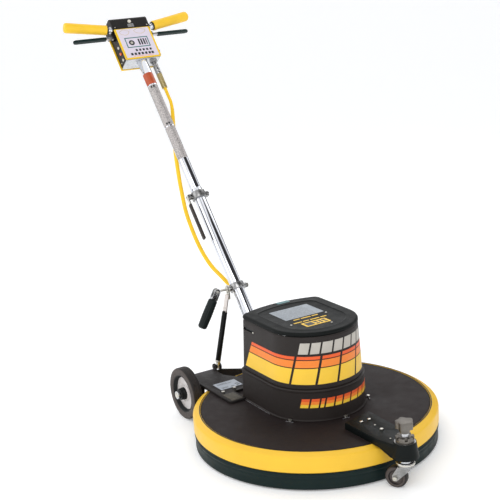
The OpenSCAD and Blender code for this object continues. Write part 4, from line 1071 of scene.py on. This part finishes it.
area("key", (-1.6, -2.6, 3.6), (0, 0.1, 0.3), (2.6, 2.0), 40)
area("fill", (-3.4, 1.2, 2.2), (0, 0.3, 0.5), (2.4, 2.4), 14)
area("rim", (2.6, 1.8, 3.0), (0, 0.2, 0.4), (2.0, 2.0), 18)
w = bpy.data.worlds.new("studio")
bpy.context.scene.world = w
w.use_nodes = True
nt = w.node_tree
nt.nodes.clear()
wo = nt.nodes.new("ShaderNodeOutputWorld")
bg = nt.nodes.new("ShaderNodeBackground")
tc2 = nt.nodes.new("ShaderNodeTexCoord")
sp = nt.nodes.new("ShaderNodeSeparateXYZ")
at = nt.nodes.new("ShaderNodeMath"); at.operation = "ARCTAN2"
mr = nt.nodes.new("ShaderNodeMapRange")
cr = nt.nodes.new("ShaderNodeValToRGB")
nt.links.new(tc2.outputs["Generated"], sp.inputs[0])
nt.links.new(sp.outputs["Y"], at.inputs[0])
nt.links.new(sp.outputs["X"], at.inputs[1])
nt.links.new(at.outputs[0], mr.inputs["Value"])
mr.inputs["From Min"].default_value = -pi
mr.inputs["From Max"].default_value = pi
nt.links.new(mr.outputs[0], cr.inputs[0])
# soft box walls of a studio, with dark gaps between them by compass angle, low down and overhead
def bands(ramp, gaps):
    el = ramp.color_ramp.elements
    el[0].position = 0.0; el[0].color = (1, 1, 1, 1)
    el[1].position = 1.0; el[1].color = (1, 1, 1, 1)
    for a0, a1, v, e in gaps:
        for d, vv in ((a0 - e, 1.0), (a0, v), (a1, v), (a1 + e, 1.0)):
            p = el.new((d + 180) / 360)
            p.color = (vv, vv, vv * 1.02, 1)


high = nt.nodes.new("ShaderNodeValToRGB")
nt.links.new(mr.outputs[0], high.inputs[0])
bands(cr, [(136, 144, 0.05, 1.5), (18, 44, 0.06, 3.0), (-30, -8, 0.12, 3.0)])
bands(high, [(-110, -16, 0.04, 3.0), (-169, -161, 0.08, 1.5)])
up_mask = nt.nodes.new("ShaderNodeMapRange")
nt.links.new(sp.outputs["Z"], up_mask.inputs["Value"])
up_mask.inputs["From Min"].default_value = 0.58
up_mask.inputs["From Max"].default_value = 0.66
top_mask = nt.nodes.new("ShaderNodeMapRange")
nt.links.new(sp.outputs["Z"], top_mask.inputs["Value"])
top_mask.inputs["From Min"].default_value = 0.95
top_mask.inputs["From Max"].default_value = 0.975
m1 = nt.nodes.new("ShaderNodeMix"); m1.data_type = "RGBA"
nt.links.new(up_mask.outputs[0], m1.inputs[0])
nt.links.new(cr.outputs[0], m1.inputs[6])
nt.links.new(high.outputs[0], m1.inputs[7])
m2 = nt.nodes.new("ShaderNodeMix"); m2.data_type = "RGBA"
nt.links.new(top_mask.outputs[0], m2.inputs[0])
nt.links.new(m1.outputs[2], m2.inputs[6])
m2.inputs[7].default_value = (1, 1, 1, 1)
bg.inputs["Strength"].default_value = 1.06
nt.links.new(m2.outputs[2], bg.inputs[0])
nt.links.new(bg.outputs[0], wo.inputs[0])
sc_ = bpy.context.scene
sc_.view_settings.view_transform = "Standard"
sc_.view_settings.look = "None"
sc_.view_settings.exposure = 0.0
